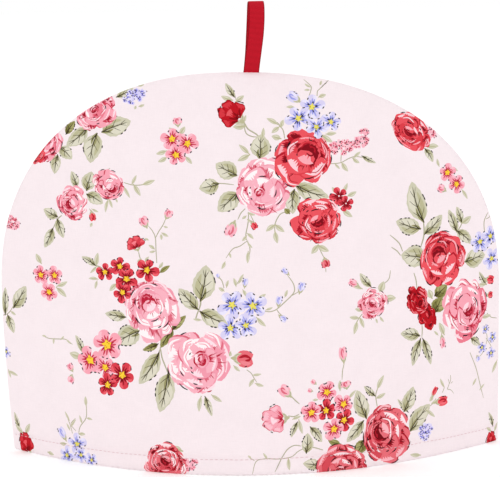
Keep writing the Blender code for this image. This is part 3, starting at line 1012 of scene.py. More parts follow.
STEMS = """ wide path
1.5 244 122 248 129 256 134 260 138
1.2 244 124 246 133 252 136.5 259 137
1.2 261 158 260 148 261 137
1.1 284.8 138.6 283 130 278.5 124.8
1.1 214.5 183.2 224 183.6 234 184.8
1.1 280 126 277 122.5 270 120
1.1 245.2 208.6 241 213 237.7 219.5
1.1 248.6 212 248.2 222 245.8 235 247 240.7
1.0 247.4 240.7 240 246 232.6 249 226 258
1.0 247.4 240.7 250 249 248.8 257
0.9 250 214 252.5 219 253.8 222
1.1 287 211.5 280 214.5 275 224 275 233
1.0 318 245.7 321 252 324.5 259
0.8 325.8 268.5 326 272.5
1.0 329.6 163.8 340.5 162.7 349.7 158 356 156.5 366 158
0.9 342 146 341 158 341 162
1.0 309 96 311 90 310.6 85.7 303.7 79.5
1.0 317 96 317.5 91 320 88.6 329 80
1.0 156.8 263 156 250 155.4 238 152.5 231 148.4 226
1.0 155.4 238 159 231 163 225 166 218
1.1 138.6 252 139.5 256 141 261
1.4 96 265.5 100 267 103 269
1.6 199 309.5 200.5 304 200.6 298
1.4 199 309.5 196.8 315 195.5 320
1.5 160.4 348.8 162 358 165 366 168.5 375
1.3 158.5 353.5 160 350 160.4 347
1.0 43 336 50 338.5 60 339 66 339.5 72.5 344.5
1.0 224 288 222 281 218 276
0.9 236 285.5 240 279 243 274.5
1.1 263.9 311 270 311.8 276.5 309.5 284 303 291.4 296 294.5 291 293.8 285 291 280 287.5 275.5
0.9 291.4 296 296 293.5 300 291
0.9 276.5 309.5 279 313 282 315.5
0.9 246.7 369.8 251 373 254 378 257 382.5
1.6 423.5 221 424 235 420 249.4
1.2 402.6 251.4 399 243 390 235
1.2 400.6 255.5 397 251 391.4 247.3
1.2 413.9 273 416 280 417 289
1.3 462 223 459.5 228 456 232.5
1.1 485 237 484 222 488 212.5
0.9 486 219 490 217 493 213.5
1.2 422 325 422.3 330 421.8 338
1.0 470 352.5 476 368 480 384 483.5 398
0.9 487 313 491 317 497 318
0.9 486 330 487 340 483 352 479 357
0.8 486 338 491 346 491.5 352
1.0 384 284 389 279 390.6 270.5
1.0 363.9 312 358 320 355.5 327
1.0 344 364 342.5 371 342 380
1.1 288.3 415.8 294 416.5 299.3 414
1.2 291 396 295.5 400.5 299.5 404
1.1 377.2 406.4 375.7 396 377 390 380.4 381
1.0 430 406 433.5 402.5 436 398
1.1 300.9 446 294 445.5 287 450 281.5 459 275 472
1.1 323 450 314 447.5 306 447.5
1.0 306 447.5 298 451.5 291 457.5 278 459.5 266 459.3 256 462 252.5 474
0.9 254.5 461 250 458.5 248 456
0.9 442.2 392.5 443.8 389 444.2 386
0.8 448.3 379 449.2 383 448.4 386 447.4 389 450.8 389.8 453.8 393.4
0.8 450.4 375 450.6 380 448.9 384.5
0.8 452.6 381.5 450.6 383.4
1.0 123.9 182.5 133 185 142 184.7 150 182
1.3 61.6 215.4 57.5 219.5 52.9 228.7
0.9 89.5 208.5 91 211.5 92 214
1.0 3 315.5 9 312.5 15 303.5
1.0 72.5 433.4 70 424 65 411.5
1.0 78.6 436.5 80 427 86 418 86.5 408 85.5 400
0.8 76 431 71 424 75.5 418
0.9 19.5 428 17.5 420 14 412
0.8 236 100 234 92 230 86
0.8 110 168 106.5 171
"""


# ---------------------------------------------------------------------------
# The print on the cloth.

REPEAT = 301.0 - 3.0j  # the print comes again after this many millimetres across
HALF_DROP = -160.0 + 235.0j  # and after these up, set off to one side
CUT_AT = 95.0 - 40.0j  # where the back panel is cut from it
TWIG_WIDTH = 0.62  # millimetres, for a twig that is 1 wide in the layout


def set_out(table, **usual):
    """The rows of a layout table, each with its place on the cloth, how long a step of the layout is
    there, and its tones."""
    for row in read_table(table, **usual):
        here, below = on_cloth([(row["x"], row["y"]), (row["x"], row["y"] + 1)])
        yield row, here, abs(below - here), TONES[row["tone"]]


def rose_print():
    """The whole print, on the flat front panel: its greenery, and the blooms that lie over it."""
    greens, blooms, dice = [], [], random.Random(11)
    twig = Pen(greens, INKS, dice, None)
    for row in STEMS.strip().splitlines()[1:]:
        width, *places = map(float, row.split())
        twig.stroke(on_cloth(np.reshape(places, (-1, 2))), width * TWIG_WIDTH, "twig", 0.8, 0.5)
    for row, base, step, tone in set_out(LEAVES, tone="sage"):
        tip = on_cloth([(row["tip_x"], row["tip_y"])])[0]
        leaf(greens, base, tip, row["wide"] * step, tone, dice)
    for table, draw in ((SPRAYS, spray), (BUDS, bud), (SIDE_ROSES, side_rose)):
        for row, middle, step, tone in set_out(table):
            draw(blooms, middle, row["long"] * step, row["wide"] * step, row["turn"], tone, dice)
    for row, middle, step, tone in set_out(ROSES):
        Rose(blooms, middle, row["size"] * step, tone, random.Random(row["seed"]), row).draw()
    for row, middle, step, tone in set_out(FLOWERS):
        flower(blooms, middle, row["size"] * step, row["turn"], tone, dice)
    return greens, blooms


def back_print(layers):
    """The same print, from the next stretch of the cloth, as it lies on the back panel."""
    shifts = [REPEAT * i + HALF_DROP * j + CUT_AT for i in (-1, 0, 1) for j in (-1, 0, 1)]
    repeated = [(path + shift, colour) for layer in layers for shift in shifts for path, colour in layer]
    return [(-np.conj(path), colour) for path, colour in repeated]


def reaching(shapes, low, high):
    """The shapes that reach into a box on the cloth."""
    return [
        (path, colour)
        for path, colour in shapes
        if low.real < path.real.max() and path.real.min() < high.real
        if low.imag < path.imag.max() and path.imag.min() < high.imag
    ]


# ---------------------------------------------------------------------------
# From flat shapes to a triangle mesh.

MERGED = 0.002  # millimetres: points nearer than this become one


def linear(colour):
    """Scene-linear values of screen colours, from 0 to 1."""
    c = np.asarray(colour, float)
    return np.where(c <= 0.04045, c / 12.92, ((c + 0.055) / 1.055) ** 2.4)


def triangulated(outline, loops, chains, points):
    """Points and triangles inside outline, with edges along every loop and chain of points, and the
    number of the point that each was made from, where the outline's own are counted first."""
    places, edges = [], []
    for number, line in enumerate([outline, *loops, *chains]):
        first, count = len(places), len(line)
        places += [Vector((p.real, p.imag)) for p in line]
        ends = count if number <= len(loops) else count - 1
        edges += [(first + i, first + (i + 1) % count) for i in range(ends)]
    places += [Vector((p.real, p.imag)) for p in points]
    found = delaunay_2d_cdt(places, edges, [list(range(len(outline)))], 1, MERGED, True)
    triangles = np.array([t for t, faces in zip(found[2], found[5], strict=True) if faces])
    source = [min(ids, default=-1) for ids in found[3]]
    return np.array([complex(*p) for p in found[0]]), triangles, source


def inside(points, outline):
    """Which points a closed outline winds round."""
    a, b = outline, np.roll(outline, -1)
    x, y = points.real[:, None], points.imag[:, None]
    rising = (a.imag <= y) & (b.imag > y)
    falling = (a.imag > y) & (b.imag <= y)
    cross = (b.real - a.real) * (y - a.imag) - (x - a.real) * (b.imag - a.imag)
    return ((rising & (cross > 0)).sum(1) - (falling & (cross < 0)).sum(1)) != 0


def topmost(points, shapes):
    """For each point, the last shape that covers it, or -1 for the bare ground."""
    top = np.full(len(points), -1)
    by_height = np.argsort(points.imag)
    heights = points.imag[by_height]
    for k, (outline, _) in enumerate(shapes):
        low, high = np.searchsorted(heights, [outline.imag.min(), outline.imag.max()])
        near = by_height[low:high]
        x = points.real[near]
        near = near[(x >= outline.real.min()) & (x <= outline.real.max())]
        if len(near):
            top[near[inside(points[near], outline)]] = k
    return top


def seen_edges(points, triangles, looks):
    """The edges between triangles that look different, as chains of points with straight runs thinned."""
    sides = np.sort(np.concatenate([triangles[:, pair] for pair in ([0, 1], [1, 2], [2, 0])]), axis=1)
    look = np.tile(looks, 3)
    order = np.lexsort(sides.T[::-1])
    sides, look = sides[order], look[order]
    same = (sides[1:] == sides[:-1]).all(1)
    beside = {}
    for a, b in sides[:-1][same & (look[1:] != look[:-1])].tolist():
        beside.setdefault(a, []).append(b)
        beside.setdefault(b, []).append(a)
    chains, used = [], set()
    ends = [v for v, near in beside.items() if len(near) != 2]
    for start in [*ends, *beside]:
        for step in beside[start]:
            if (start, step) in used:
                continue
            chain = [start, step]
            used |= {(start, step), (step, start)}
            while len(beside[chain[-1]]) == 2 and chain[-1] != start:
                following = [v for v in beside[chain[-1]] if v != chain[-2]]
                if not following or (chain[-1], following[0]) in used:
                    break
                used |= {(chain[-1], following[0]), (following[0], chain[-1])}
                chain.append(following[0])
            chains.append(thinned(points[np.array(chain)]))
    return chains


def thinned(line, slack=0.035, longest=24):
    """A line of points without those that it can lose and stay within slack millimetres."""
    keep, start = [0], 0
    while start < len(line) - 1:
        end = start + 1
        while end + 1 < len(line) and end - start < longest:
            chord = line[end + 1] - line[start]
            if abs(chord) < 1e-9:
                break
            between = line[start + 1 : end + 1] - line[start]
            if np.abs((between * np.conj(chord)).imag).max() / abs(chord) > slack:
                break
            end += 1
        keep.append(end)
        start = end
    return line[keep]


# ---------------------------------------------------------------------------
# The panels.

SEAM_RINGS = (0.0006, 0.0014, 0.0026, 0.0042, 0.0065, 0.0095, 0.013)
HEM_LINES = (0.0001, 0.0003, 0.0006, 0.0012, 0.0022, 0.0040, 0.0060)
HEM_LINES += (0.0078, 0.0090, 0.0100, 0.0110, 0.0122, 0.0145, 0.0175)  # closer about the stitching
INNER_RINGS = (0.004, 0.008, 0.0095, 0.011, 0.0125, 0.014)
INNER_LINES = (0.004, 0.0075, 0.010, 0.0125, 0.016)
OUTER_PITCH, INNER_PITCH = (0.0024, 0.0042), (0.0034, 0.0070)  # along the edges, and over the rest
SEAM_POINTS, HEM_POINTS = 420, 150
EDGE_ROOM = 0.0004  # no point lies nearer to the outline
SLOPE_STEP = 0.0001
LAY_AT = (0.180, 0.006)  # where the flat cloth starts on the map
LINING_AT, LINING_SCALE = (0.060, 0.2682), 0.33
TURN_UNDER = (0.0, 0.0045)


def add_object(name, data):
    made = bpy.data.objects.new(name, data)
    bpy.context.scene.collection.objects.link(made)
    return made


def new_mesh(name, points, edges, faces, finish=None):
    mesh = bpy.data.meshes.new(name)
    mesh.from_pydata(points, edges, faces)
    if finish:
        mesh.materials.append(finish)
    mesh.polygons.foreach_set("use_smooth", np.ones(len(mesh.polygons), bool))
    return mesh


def write(layer, key, values):
    layer.foreach_set(key, values.ravel().astype(np.float32))


def carried_by(rings, lines, beside, pitch):
    """Points (x, z) that carry the shape: along the seam, along the hem, and over the rest."""
    seam = along(ARCH, round(walk(ARCH)[-1] / beside) + 1)
    inward = way_in(np.gradient(seam, axis=0))
    sets = [(0.0, seam + inset * inward) for inset in rings]
    x = np.arange(-HALF_WIDTH, HALF_WIDTH, beside * 1.5)
    sets += [(rings[1], np.stack([x, 0 * x + z], axis=1)) for z in lines]
    x, z = np.arange(-HALF_WIDTH, HALF_WIDTH, pitch), np.arange(lines[-1] + pitch, SEAM_HEIGHT, pitch * 0.9)
    x, z = np.meshgrid(x, z)
    x = x + pitch / 2 * (np.arange(len(x)) % 2)[:, None]
    sets.append((rings[-1] + pitch * 0.4, np.stack([x.ravel(), z.ravel()], axis=1)))
    kept = []
    for least, points in sets:
        x, z = points.T
        middle, half, _ = level_shape(z)
        fits = (np.abs(x - middle) < half - EDGE_ROOM) & (z > EDGE_ROOM / 4) & (z < SEAM_HEIGHT - EDGE_ROOM)
        points = points[fits]
        kept.append(points[near_seam(points)[0] > least])
    return np.concatenate(kept)


def facing_out(shape, points, facing):
    """Normals of a skin at places (x, z), from its slopes there."""
    gap, _, inward = near_seam(points)
    points = points + inward * np.maximum(0.0003 - gap, 0.0)[:, None]
    points[:, 1] = np.maximum(points[:, 1], 0.8 * HEM_FOLD)  # keeps the light on the fold
    across, up = (shape(points + by) - shape(points - by) for by in SLOPE_STEP * np.eye(2))
    normal = np.cross(across, up) * -facing
    return normal / np.linalg.norm(normal, axis=1)[:, None]


def printed_flat(shapes, outline):
    """The cloth laid flat: points, triangles that follow the print, and the colour of each triangle."""
    shapes = reaching(shapes, outline.real.min() + 0j, complex(outline.real.max(), outline.imag.max()))
    points, triangles, _ = triangulated(outline, [path for path, _ in shapes], [], [])
    top = topmost(points[triangles].mean(1), shapes)
    names = {}
    look = np.array([names.setdefault(colour, len(names)) for _, colour in shapes])
    chains = seen_edges(points, triangles, np.where(top >= 0, look[top], -1))

    carried = flat_mm(carried_by(SEAM_RINGS, HEM_LINES, *OUTER_PITCH))
    points, triangles, _ = triangulated(outline, [], chains, carried)
    colours = linear([*(colour for _, colour in shapes), GROUND])
    return points, triangles, colours[topmost(points[triangles].mean(1), shapes)]


def edge_loop(triangles):
    """The outline's points in order, each with the triangle that lies along the edge from there."""
    sides = {(int(t[k]), int(t[(k + 1) % 3])): i for i, t in enumerate(triangles) for k in range(3)}
    after = {a: (b, i) for (a, b), i in sides.items() if (b, a) not in sides}
    at = first = next(iter(after))
    loop = []
    while not loop or at != first:
        loop.append((at, after[at][1]))
        at = after[at][0]
    return loop


def hem_strip(rim, under, on_hem, lay):
    """Triangles that join the two skins under the hem, their map places, and the edge that each is at."""
    strip, strip_lay, beside = [], [], []
    for k in np.flatnonzero(on_hem & np.roll(on_hem, -1)):
        n = (k + 1) % len(rim)
        a, b, c, d = rim[k], under[k], under[n], rim[n]
        spots = {b: lay[a] - TURN_UNDER, c: lay[d] - TURN_UNDER, a: lay[a], d: lay[d]}
        for part in ((a, b, c), (a, c, d)):
            if len(set(part)) == 3:
                strip.append(part)
                strip_lay.append([spots[v] for v in part])
                beside.append(k)
    return strip, strip_lay, beside


def cloth_mesh(name, points, corners, normals, maps, colours, finish):
    """A mesh of these triangles, with a normal and a map place at each corner and a colour on each."""
    used, corners = np.unique(corners, return_inverse=True)
    mesh = new_mesh(name, points[used], [], corners.reshape(-1, 3), finish)
    write(mesh.uv_layers.new(name=CLOTH_MAP).uv, "vector", maps)
    tints = np.pad(np.repeat(colours, 3, axis=0), ((0, 0), (0, 1)), constant_values=1.0)
    write(mesh.color_attributes.new(PRINT, "FLOAT_COLOR", "CORNER").data, "color", tints)
    mesh.normals_split_custom_set(normals.reshape(-1, 3).astype(np.float32))
    return mesh


def panel(name, facing, shapes, finish):
    """One panel of the cosy: printed outside, plain inside, closed round the hem and the seam."""
    hem_x = np.linspace(ARCH[-1, 0], ARCH[0, 0], HEM_POINTS)[1:-1]
    outline = np.concatenate([along(ARCH, SEAM_POINTS), np.stack([hem_x, 0 * hem_x], axis=1)])
    flat, triangles, colours = printed_flat(shapes, flat_mm(outline)[::-1])
    lay = np.stack([flat.real, flat.imag], axis=1) / MM
    places = from_flat(lay)
    places[flat.imag < 1e-6, 1] = 0.0
    rim, rim_triangle = np.array(edge_loop(triangles)).T
    on_hem = places[rim, 1] == 0.0
    by_hem = on_hem & np.roll(on_hem, 1) & np.roll(on_hem, -1)  # the hem without its corners

    edge = places[rim]
    carried = carried_by(INNER_RINGS, INNER_LINES, *INNER_PITCH)
    inner, inner_triangles, source = triangulated(edge @ (MM, MM * 1j), [], [], carried @ (MM, MM * 1j))
    inner_triangles = inner_triangles[:, ::-1]
    inner_places = np.stack([inner.real, inner.imag], axis=1) / MM

    # The two skins share their points along the seam, and a strip joins them under the hem.
    outer, lined = partial(outer_skin, name=name, facing=facing), partial(inner_skin, facing=facing)
    outer_at = outer(places)
    outer_at[rim[~by_hem]] = lined(edge[~by_hem])
    index, under = len(places) + np.arange(len(inner)), np.empty(len(rim), int)
    for j, k in enumerate(source):
        if 0 <= k < len(rim):
            index[j] = index[j] if by_hem[k] else rim[k]
            under[k] = index[j]
    lay = lay + LAY_AT
    strip, strip_lay, beside = hem_strip(rim, under, on_hem, lay)

    outer_normal, inner_normal = facing_out(outer, places, facing), -facing_out(lined, inner_places, facing)
    down = np.broadcast_to([0.0, 0.0, -1.0], (len(strip), 3, 3))
    inner_lay = (inner_places * LINING_SCALE + LINING_AT)[inner_triangles]
    lining = np.broadcast_to(linear(LINING), inner_triangles.shape)
    by_corner = (
        (triangles, index[inner_triangles], strip),
        (outer_normal[triangles], inner_normal[inner_triangles], down),
        (lay[triangles], inner_lay, strip_lay),
    )
    turn = -1 if facing > 0 else 1
    corners, normals, laid = (np.concatenate(parts)[:, ::turn] for parts in by_corner)
    tints = np.concatenate([colours, lining, colours[rim_triangle[beside]]])
    points = np.concatenate([outer_at, lined(inner_places)])
    mesh = cloth_mesh(f"{name}_cloth", points, corners, normals, laid / MAP_SPAN, tints, finish)
    return add_object(mesh.name, mesh)


# ---------------------------------------------------------------------------
# Materials.


class Socket:
    """A shader socket that can be used in sums."""

    def __init__(self, made, output):
        self.made, self.output = made, output

    def _math(self, operation, *values):
        return self.made.node("ShaderNodeMath", {"operation": operation}, dict(enumerate(values)))

    def __add__(self, other):
        return self._math("ADD", self, other)

    def __mul__(self, other):
        return self._math("MULTIPLY", self, other)

    def ridges(self, pitch):
        """Humps side by side, from 0 to 1."""
        return self._math("ABSOLUTE", self._math("SINE", self * (math.pi / pitch)))

    __radd__, __rmul__ = __add__, __mul__


class Graph:
    """Nodes under construction: node() adds any node and returns one of its outputs."""

    def node(self, kind, settings=None, inputs=None, output=0):
        made = self.tree.nodes.new(kind)
        for name, value in (settings or {}).items():
            setattr(made, name, value)
        for key, value in (inputs or {}).items():
            self.give(made.inputs[key], value)
        return Socket(self, made.outputs[output])

    def give(self, entry, value):
        if isinstance(value, Socket):
            self.tree.links.new(value.output, entry)
        else:
            entry.default_value = value


class Finish(Graph):
    """A material."""

    def __init__(self, name):
        self.material = bpy.data.materials.new(name)
        self.material.use_nodes = True
        self.tree = self.material.node_tree
        self.shader = self.tree.nodes["Principled BSDF"]

    def set(self, **values):
        """Sets the shader's own sockets, and hands over the material."""
        for name, value in values.items():
            self.give(self.shader.inputs[name.replace("_", " ").title().replace("Ior", "IOR")], value)
        return self.material

    def mix(self, share, *colours):
        """Mixes two colours. One in text is a screen colour, such as #f6e9ec."""
        a, b = ((*linear(cell_value(c)), 1) if isinstance(c, str) else c for c in colours)
        return self.node("ShaderNodeMix", {"data_type": "RGBA"}, {0: share, 6: a, 7: b}, output=2)

    def spread(self, value, low, high, to_low=0.0, to_high=1.0):
        return self.node("ShaderNodeMapRange", {}, {0: value, 1: low, 2: high, 3: to_low, 4: to_high})

    def noise(self, where, scale, detail):
        return self.node("ShaderNodeTexNoise", {}, {"Vector": where, "Scale": scale, "Detail": detail})

    def grain(self, scale, detail):
        """Noise that is fixed to the piece."""
        return self.noise(self.node("ShaderNodeTexCoord", output=3), scale, detail)

    def stretched(self, where, across, up):
        """Map places, times so much for each metre of flat cloth."""
        by = (MAP_SPAN * across, MAP_SPAN * up, 1)
        return self.node("ShaderNodeVectorMath", {"operation": "MULTIPLY"}, {0: where, 1: by})

    def attribute(self, name, output=0):
        settings = {"attribute_type": "GEOMETRY", "attribute_name": name}
        return self.node("ShaderNodeAttribute", settings, output=output)

    def bump(self, height, distance, strength, **under):
        inputs = {"Height": height, "Distance": distance, "Strength": strength, **under}
        return self.node("ShaderNodeBump", {}, inputs)


def printed_cotton():
    """Plain-weave cotton with a soft uneven print, and a little painted shade where the threads part."""
    made = Finish("printed_cotton")
    flat = made.node("ShaderNodeUVMap", {"uv_map": CLOTH_MAP})
    in_mm = {0: made.stretched(flat, MM, MM)}
    across, up = (made.node("ShaderNodeSeparateXYZ", {}, in_mm, output=k) for k in (0, 1))
    weave = across.ridges(THREAD_PITCH) * up.ridges(THREAD_PITCH)
    slubs = (made.noise(made.stretched(flat, *by), 1.0, 2.0) for by in ((2600, 170), (170, 2600)))
    slub = (next(slubs) + next(slubs)) * 0.5
    cloud = made.noise(made.stretched(flat, 60, 60), 1.0, 3.0)
    fading = made.spread(slub, 0.36, 0.64, 0.975, 1.02) * made.spread(cloud, 0.3, 0.7, 0.985, 1.01)
    # The weave makes the colour a little darker between thread crowns and lighter on them: painted shade in
    # the weave's gaps.
    scale = {0: made.attribute(PRINT), "Scale": fading * (weave * 0.02 + 0.985)}
    rumpled = made.bump(made.grain(55.0, 3.0), 0.0011, 0.45)
    return made.set(
        base_color=made.node("ShaderNodeVectorMath", {"operation": "SCALE"}, scale),
        roughness=made.spread(slub, 0.3, 0.7, 0.80, 0.90),
        normal=made.bump(weave + slub * 1.2, 0.00010, 0.5, Normal=rumpled),
        sheen_weight=0.03,
        sheen_roughness=0.5,
        specular_ior_level=0.06,
    )


def ribbon_red():
    """Grosgrain: fine dull ribs, with a painted highlight on their crowns and painted shade between them and
    along the selvages.
    """
    made = Finish("ribbon_red")
    rib = made.attribute("rib", output=2)
    # Dark in the troughs, bright on the crowns: painted shade and painted highlight on the ribs.
    red = made.mix(rib, "#960614", "#d6162e")
    # Darker along the flat selvages: painted shade.
    red = made.mix(made.attribute("edge", output=2) * 0.55, red, "#7a020e")
    return made.set(
        base_color=made.mix(made.spread(made.grain(900.0, 2.0), 0.3, 0.7, 0.0, 0.25), red, "#be0e22"),
        roughness=made.spread(rib, 0.0, 1.0, 0.75, 0.55),
        sheen_weight=0.02,
        specular_ior_level=0.10,
    )


def pale_thread():
    made = Finish("pale_thread")
    # The thread's own pale pink, darkened by painted shade of the groove it lies in.
    twist = made.mix(made.grain(1400.0, 1.0), "#d0acb2", "#e8ccd0")
    return made.set(base_color=twist, roughness=0.6, sheen_weight=0.1)


def floor_white():
    made = Finish("floor_white")
    cloud = made.mix(made.grain(3.0, 2.0), (0.93, 0.93, 0.93, 1), (0.95, 0.95, 0.95, 1))
    made.set(base_color=cloud, roughness=0.9, specular_ior_level=0.0)
    return made.set(emission_color=(1.0, 1.0, 1.0, 1), emission_strength=0.13)


# ---------------------------------------------------------------------------
# The hem's stitching.

WAVER = ((0.00015, 0.013), (0.0001, 0.0041))  # how far the line strays, and over how much
WAVER_POINTS = 400


class Tree(Graph):
    """A geometry tree with named inputs."""

    def __init__(self, name, sizes):
        self.tree = bpy.data.node_groups.new(name, "GeometryNodeTree")
        face = self.tree.interface
        face.new_socket("Geometry", in_out="INPUT", socket_type="NodeSocketGeometry")
        face.new_socket("Geometry", in_out="OUTPUT", socket_type="NodeSocketGeometry")
        self.keys = {
            label: face.new_socket(label, in_out="INPUT", socket_type=f"NodeSocket{kind}").identifier
            for label, kind in sizes.items()
        }
        given = self.tree.nodes.new("NodeGroupInput").outputs
        self.given = {label: Socket(self, given[label]) for label in ("Geometry", *sizes)}
        self.result = self.tree.nodes.new("NodeGroupOutput").inputs[0]

    def made_on(self, carrier, values):
        """The tree's result on an object, as a plain mesh object that takes the carrier's name."""
        modifier = carrier.modifiers.new("made", "NODES")
        modifier.node_group = self.tree
        for label, value in values.items():
            modifier[self.keys[label]] = value
        shown = carrier.evaluated_get(bpy.context.evaluated_depsgraph_get())
        mesh, name = bpy.data.meshes.new_from_object(shown), carrier.name
        bpy.data.objects.remove(carrier)
        mesh.name = name
        return add_object(name, mesh)


def stitch_tree():
    """Stitches of one thread along an edge path: short fat beads that dip into the cloth at each end."""
    sizes = {"Pitch": "Float", "Stitch Length": "Float", "Thread": "Float", "Finish": "Material"}
    tree = Tree("hem_stitching", sizes)
    node, given = tree.node, tree.given
    path = node("GeometryNodeMeshToCurve", {}, {"Mesh": given["Geometry"]})
    points = node("GeometryNodeResampleCurve", {"mode": "LENGTH"}, {"Curve": path, "Length": given["Pitch"]})
    turn = node("FunctionNodeAlignEulerToVector", {"axis": "X"}, {"Vector": node("GeometryNodeInputTangent")})
    bead = node("GeometryNodeMeshUVSphere", {}, {"Segments": 8, "Rings": 5, "Radius": 0.5})
    thread = given["Thread"]
    size = node("ShaderNodeCombineXYZ", {}, {0: given["Stitch Length"], 1: thread, 2: thread})
    shaped = node("GeometryNodeTransform", {}, {"Geometry": bead, "Scale": size})
    beads = {"Points": points, "Instance": shaped, "Rotation": turn}
    placed = node("GeometryNodeInstanceOnPoints", {}, beads)
    real = node("GeometryNodeRealizeInstances", {}, {"Geometry": placed})
    rounded = node("GeometryNodeSetShadeSmooth", {}, {"Geometry": real})
    done = node("GeometryNodeSetMaterial", {}, {"Geometry": rounded, "Material": given["Finish"]})
    tree.give(tree.result, done)
    return tree


def hem_stitches(name, facing, tree, finish):
    x = np.linspace(ARCH[0, 0] + CORNER_ROOM, ARCH[-1, 0] - CORNER_ROOM, WAVER_POINTS)
    unsteady = sum(stray * np.sin(x / over) for stray, over in WAVER)
    skin_at = outer_skin(np.stack([x, HEM_DEPTH + unsteady], axis=1), name, facing)
    skin_at[:, 1] += facing * THREAD_LIFT
    mesh = new_mesh(f"{name}_stitches", skin_at, [(i, i + 1) for i in range(len(x) - 1)], [])
    values = {"Pitch": STITCH_PITCH, "Stitch Length": STITCH_LONG, "Thread": THREAD, "Finish": finish}
    return tree.made_on(add_object(mesh.name, mesh), values)


# ---------------------------------------------------------------------------
# The ribbon loop.

LOOP_POINTS, RIB_POINTS = 900, 8  # round the loop, and from rib to rib

# The ribbon's half section, as shares of its half width. The weave is flat past the last rib, and
# thinner on the very edge.
ACROSS = np.array([1.0, 0.97, 0.90, 0.84, 0.5, 0.0, -0.5, -0.84, -0.90, -0.97, -1.0])
LAST_RIB, RIB_FADE, VERY_EDGE = 0.93, 0.06, 0.96


def loop_path():
    """The middle of the ribbon's thickness: up the front, over the top and down the back."""
    base = float(np.interp(LOOP_X, *RIGHT[::-1].T))
    leg = (RIBBON_THICK + TAIL_APART) / 2
    turn = np.linspace(0.0, 2 * math.pi, LOOP_POINTS)
    tear = np.sin(turn) * np.sin(turn / 2) ** TEAR_POWER
    y = -leg * np.cos(turn / 2) - (LOOP_HALF_DEPTH - RIBBON_THICK / 2) / np.abs(tear).max() * tear
    rise = (1 - np.cos(turn)) / 2
    x = LOOP_X + LOOP_LEAN * np.sin(rise * math.pi / 2)
    loop = np.stack([x, y, base + (LOOP_HEIGHT - RIBBON_THICK / 2) * rise], axis=1)
    whole = np.concatenate([loop[:1] - (0, 0, TAIL), loop, loop[-1:] - (0, 0, TAIL)])
    length = walk(whole)[-1]
    return along(whole, round(length / RIB_PITCH * RIB_POINTS) + 1), base, length


def ribbon(finish):
    """Ribbed ribbon: fine ribs across it, flatter at its woven edges."""
    path, base, length = loop_path()
    ahead = np.gradient(path[:, 1:], axis=0)
    ahead /= np.linalg.norm(ahead, axis=1)[:, None]
    twist = LOOP_TWIST * np.clip((path[:, 2] - base) / LOOP_HEIGHT * 2, 0.0, 1.0)
    wave = 0.5 - 0.5 * np.cos(2 * math.pi * walk(path) / RIB_PITCH)

    # Once round the section: how ribbed and how thick it is at each of its points.
    share = np.r_[ACROSS, ACROSS[::-1]]
    side = np.repeat([1.0, -1.0], len(ACROSS))
    cover = np.clip((LAST_RIB - np.abs(share)) / RIB_FADE, 0.0, 1.0)
    level = np.where(np.abs(share) > VERY_EDGE, 0.4, 0.94) * RIBBON_THICK / 2
    rise = side * (level + RIB_RISE * cover * (wave[:, None] - 0.5))
    y = path[:, 1, None] - rise * ahead[:, 1, None]
    z = path[:, 2, None] + rise * ahead[:, 0, None]
    swung = (share * RIBBON_WIDTH / 2 + 1j * y) * np.exp(1j * twist)[:, None]
    points = np.stack([path[:, 0, None] + swung.real, swung.imag, z], axis=-1)

    rows, count = rise.shape
    index = np.arange(rows * count).reshape(rows, count)
    low, high = index[:-1], index[1:]
    faces = np.stack([low, np.roll(low, -1, 1), np.roll(high, -1, 1), high], axis=-1).reshape(-1, 4).tolist()
    faces += [index[0][::-1].tolist(), index[-1].tolist()]
    mesh = new_mesh("ribbon_loop", points.reshape(-1, 3), [], faces, finish)
    write(mesh.attributes.new("rib", "FLOAT", "POINT").data, "value", wave[:, None] * cover)
    write(mesh.attributes.new("edge", "FLOAT", "POINT").data, "value", np.tile(1 - cover, rows))
    bm = bmesh.new()
    bm.from_mesh(mesh)
    bmesh.ops.recalc_face_normals(bm, faces=bm.faces)
    bm.to_mesh(mesh)
    bm.free()
    return add_object("ribbon_loop", mesh), length


# ---------------------------------------------------------------------------
# The floor, the light and the camera.

LAMPS = """ name x y z wide high power
overhead 0.3 -0.6 2.0 2.0 2.0 2.0
front -0.9 -2.2 1.2 1.6 1.2 1.4
"""
LIT_MIDDLE = Vector((0, 0, 0.12))
FLOOR_REACH = 6


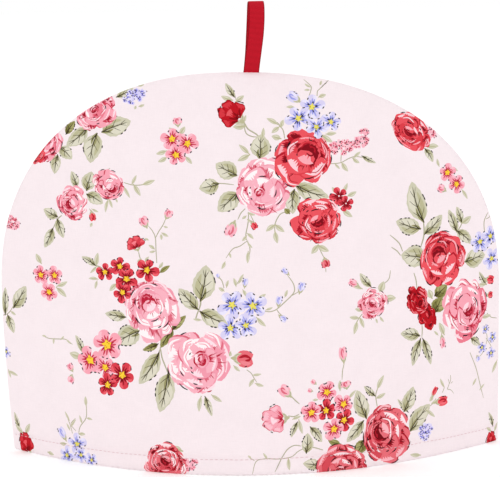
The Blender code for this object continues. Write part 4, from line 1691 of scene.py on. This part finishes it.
def studio():
    """A pale floor, even light from all round with two soft lamps, and the camera."""
    corners = [(FLOOR_REACH * x, FLOOR_REACH * y, 0) for x, y in ((-1, -1), (1, -1), (1, 1), (-1, 1))]
    add_object("floor", new_mesh("floor", corners, [], [(0, 1, 2, 3)], floor_white()))

    world = bpy.data.worlds.new("studio")
    world.use_nodes = True
    sky = world.node_tree.nodes["Background"].inputs
    sky["Color"].default_value = (1.0, 1.0, 1.0, 1)
    sky["Strength"].default_value = 1.0
    bpy.context.scene.world = world
    for row in read_table(LAMPS):
        light = bpy.data.lights.new(row["name"], "AREA")
        light.shape, light.energy = "RECTANGLE", row["power"]
        light.size, light.size_y = row["wide"], row["high"]
        lamp = add_object(row["name"], light)
        lamp.location = row["x"], row["y"], row["z"]
        lamp.rotation_euler = (LIT_MIDDLE - lamp.location).to_track_quat("-Z", "Y").to_euler()

    lens = bpy.data.cameras.new("camera")
    lens.lens, lens.sensor_width, lens.sensor_fit = CAMERA["lens"], CAMERA["sensor"], "HORIZONTAL"
    lens.clip_start, lens.clip_end = 0.05, 50.0
    camera = add_object("camera", lens)
    tilt = Matrix.Rotation(math.radians(90 - CAMERA["down"]), 4, "X")
    roll = Matrix.Rotation(math.radians(-CAMERA["roll"]), 4, "Z")
    camera.matrix_world = Matrix.Translation((CAMERA["x"], CAMERA["y"], CAMERA["z"])) @ tilt @ roll
    bpy.context.scene.camera = camera
    bpy.context.scene.view_settings.view_transform = "Standard"


# ---------------------------------------------------------------------------
# Building it.

cotton, red, thread = printed_cotton(), ribbon_red(), pale_thread()
greenery, blooms = rose_print()
stitching = stitch_tree()
for panel_name, way in (("front", -1), ("back", 1)):
    shapes = greenery + blooms if way < 0 else back_print((greenery, blooms))
    cloth = panel(panel_name, way, shapes, cotton)
    seams = hem_stitches(panel_name, way, stitching, thread)
    for piece in (cloth, seams):
        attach(piece, "root")
    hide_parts(f"{panel_name}_panel")

loop, ribbon_length = ribbon(red)
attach(loop, "root")
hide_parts("hanging_loop")

studio()
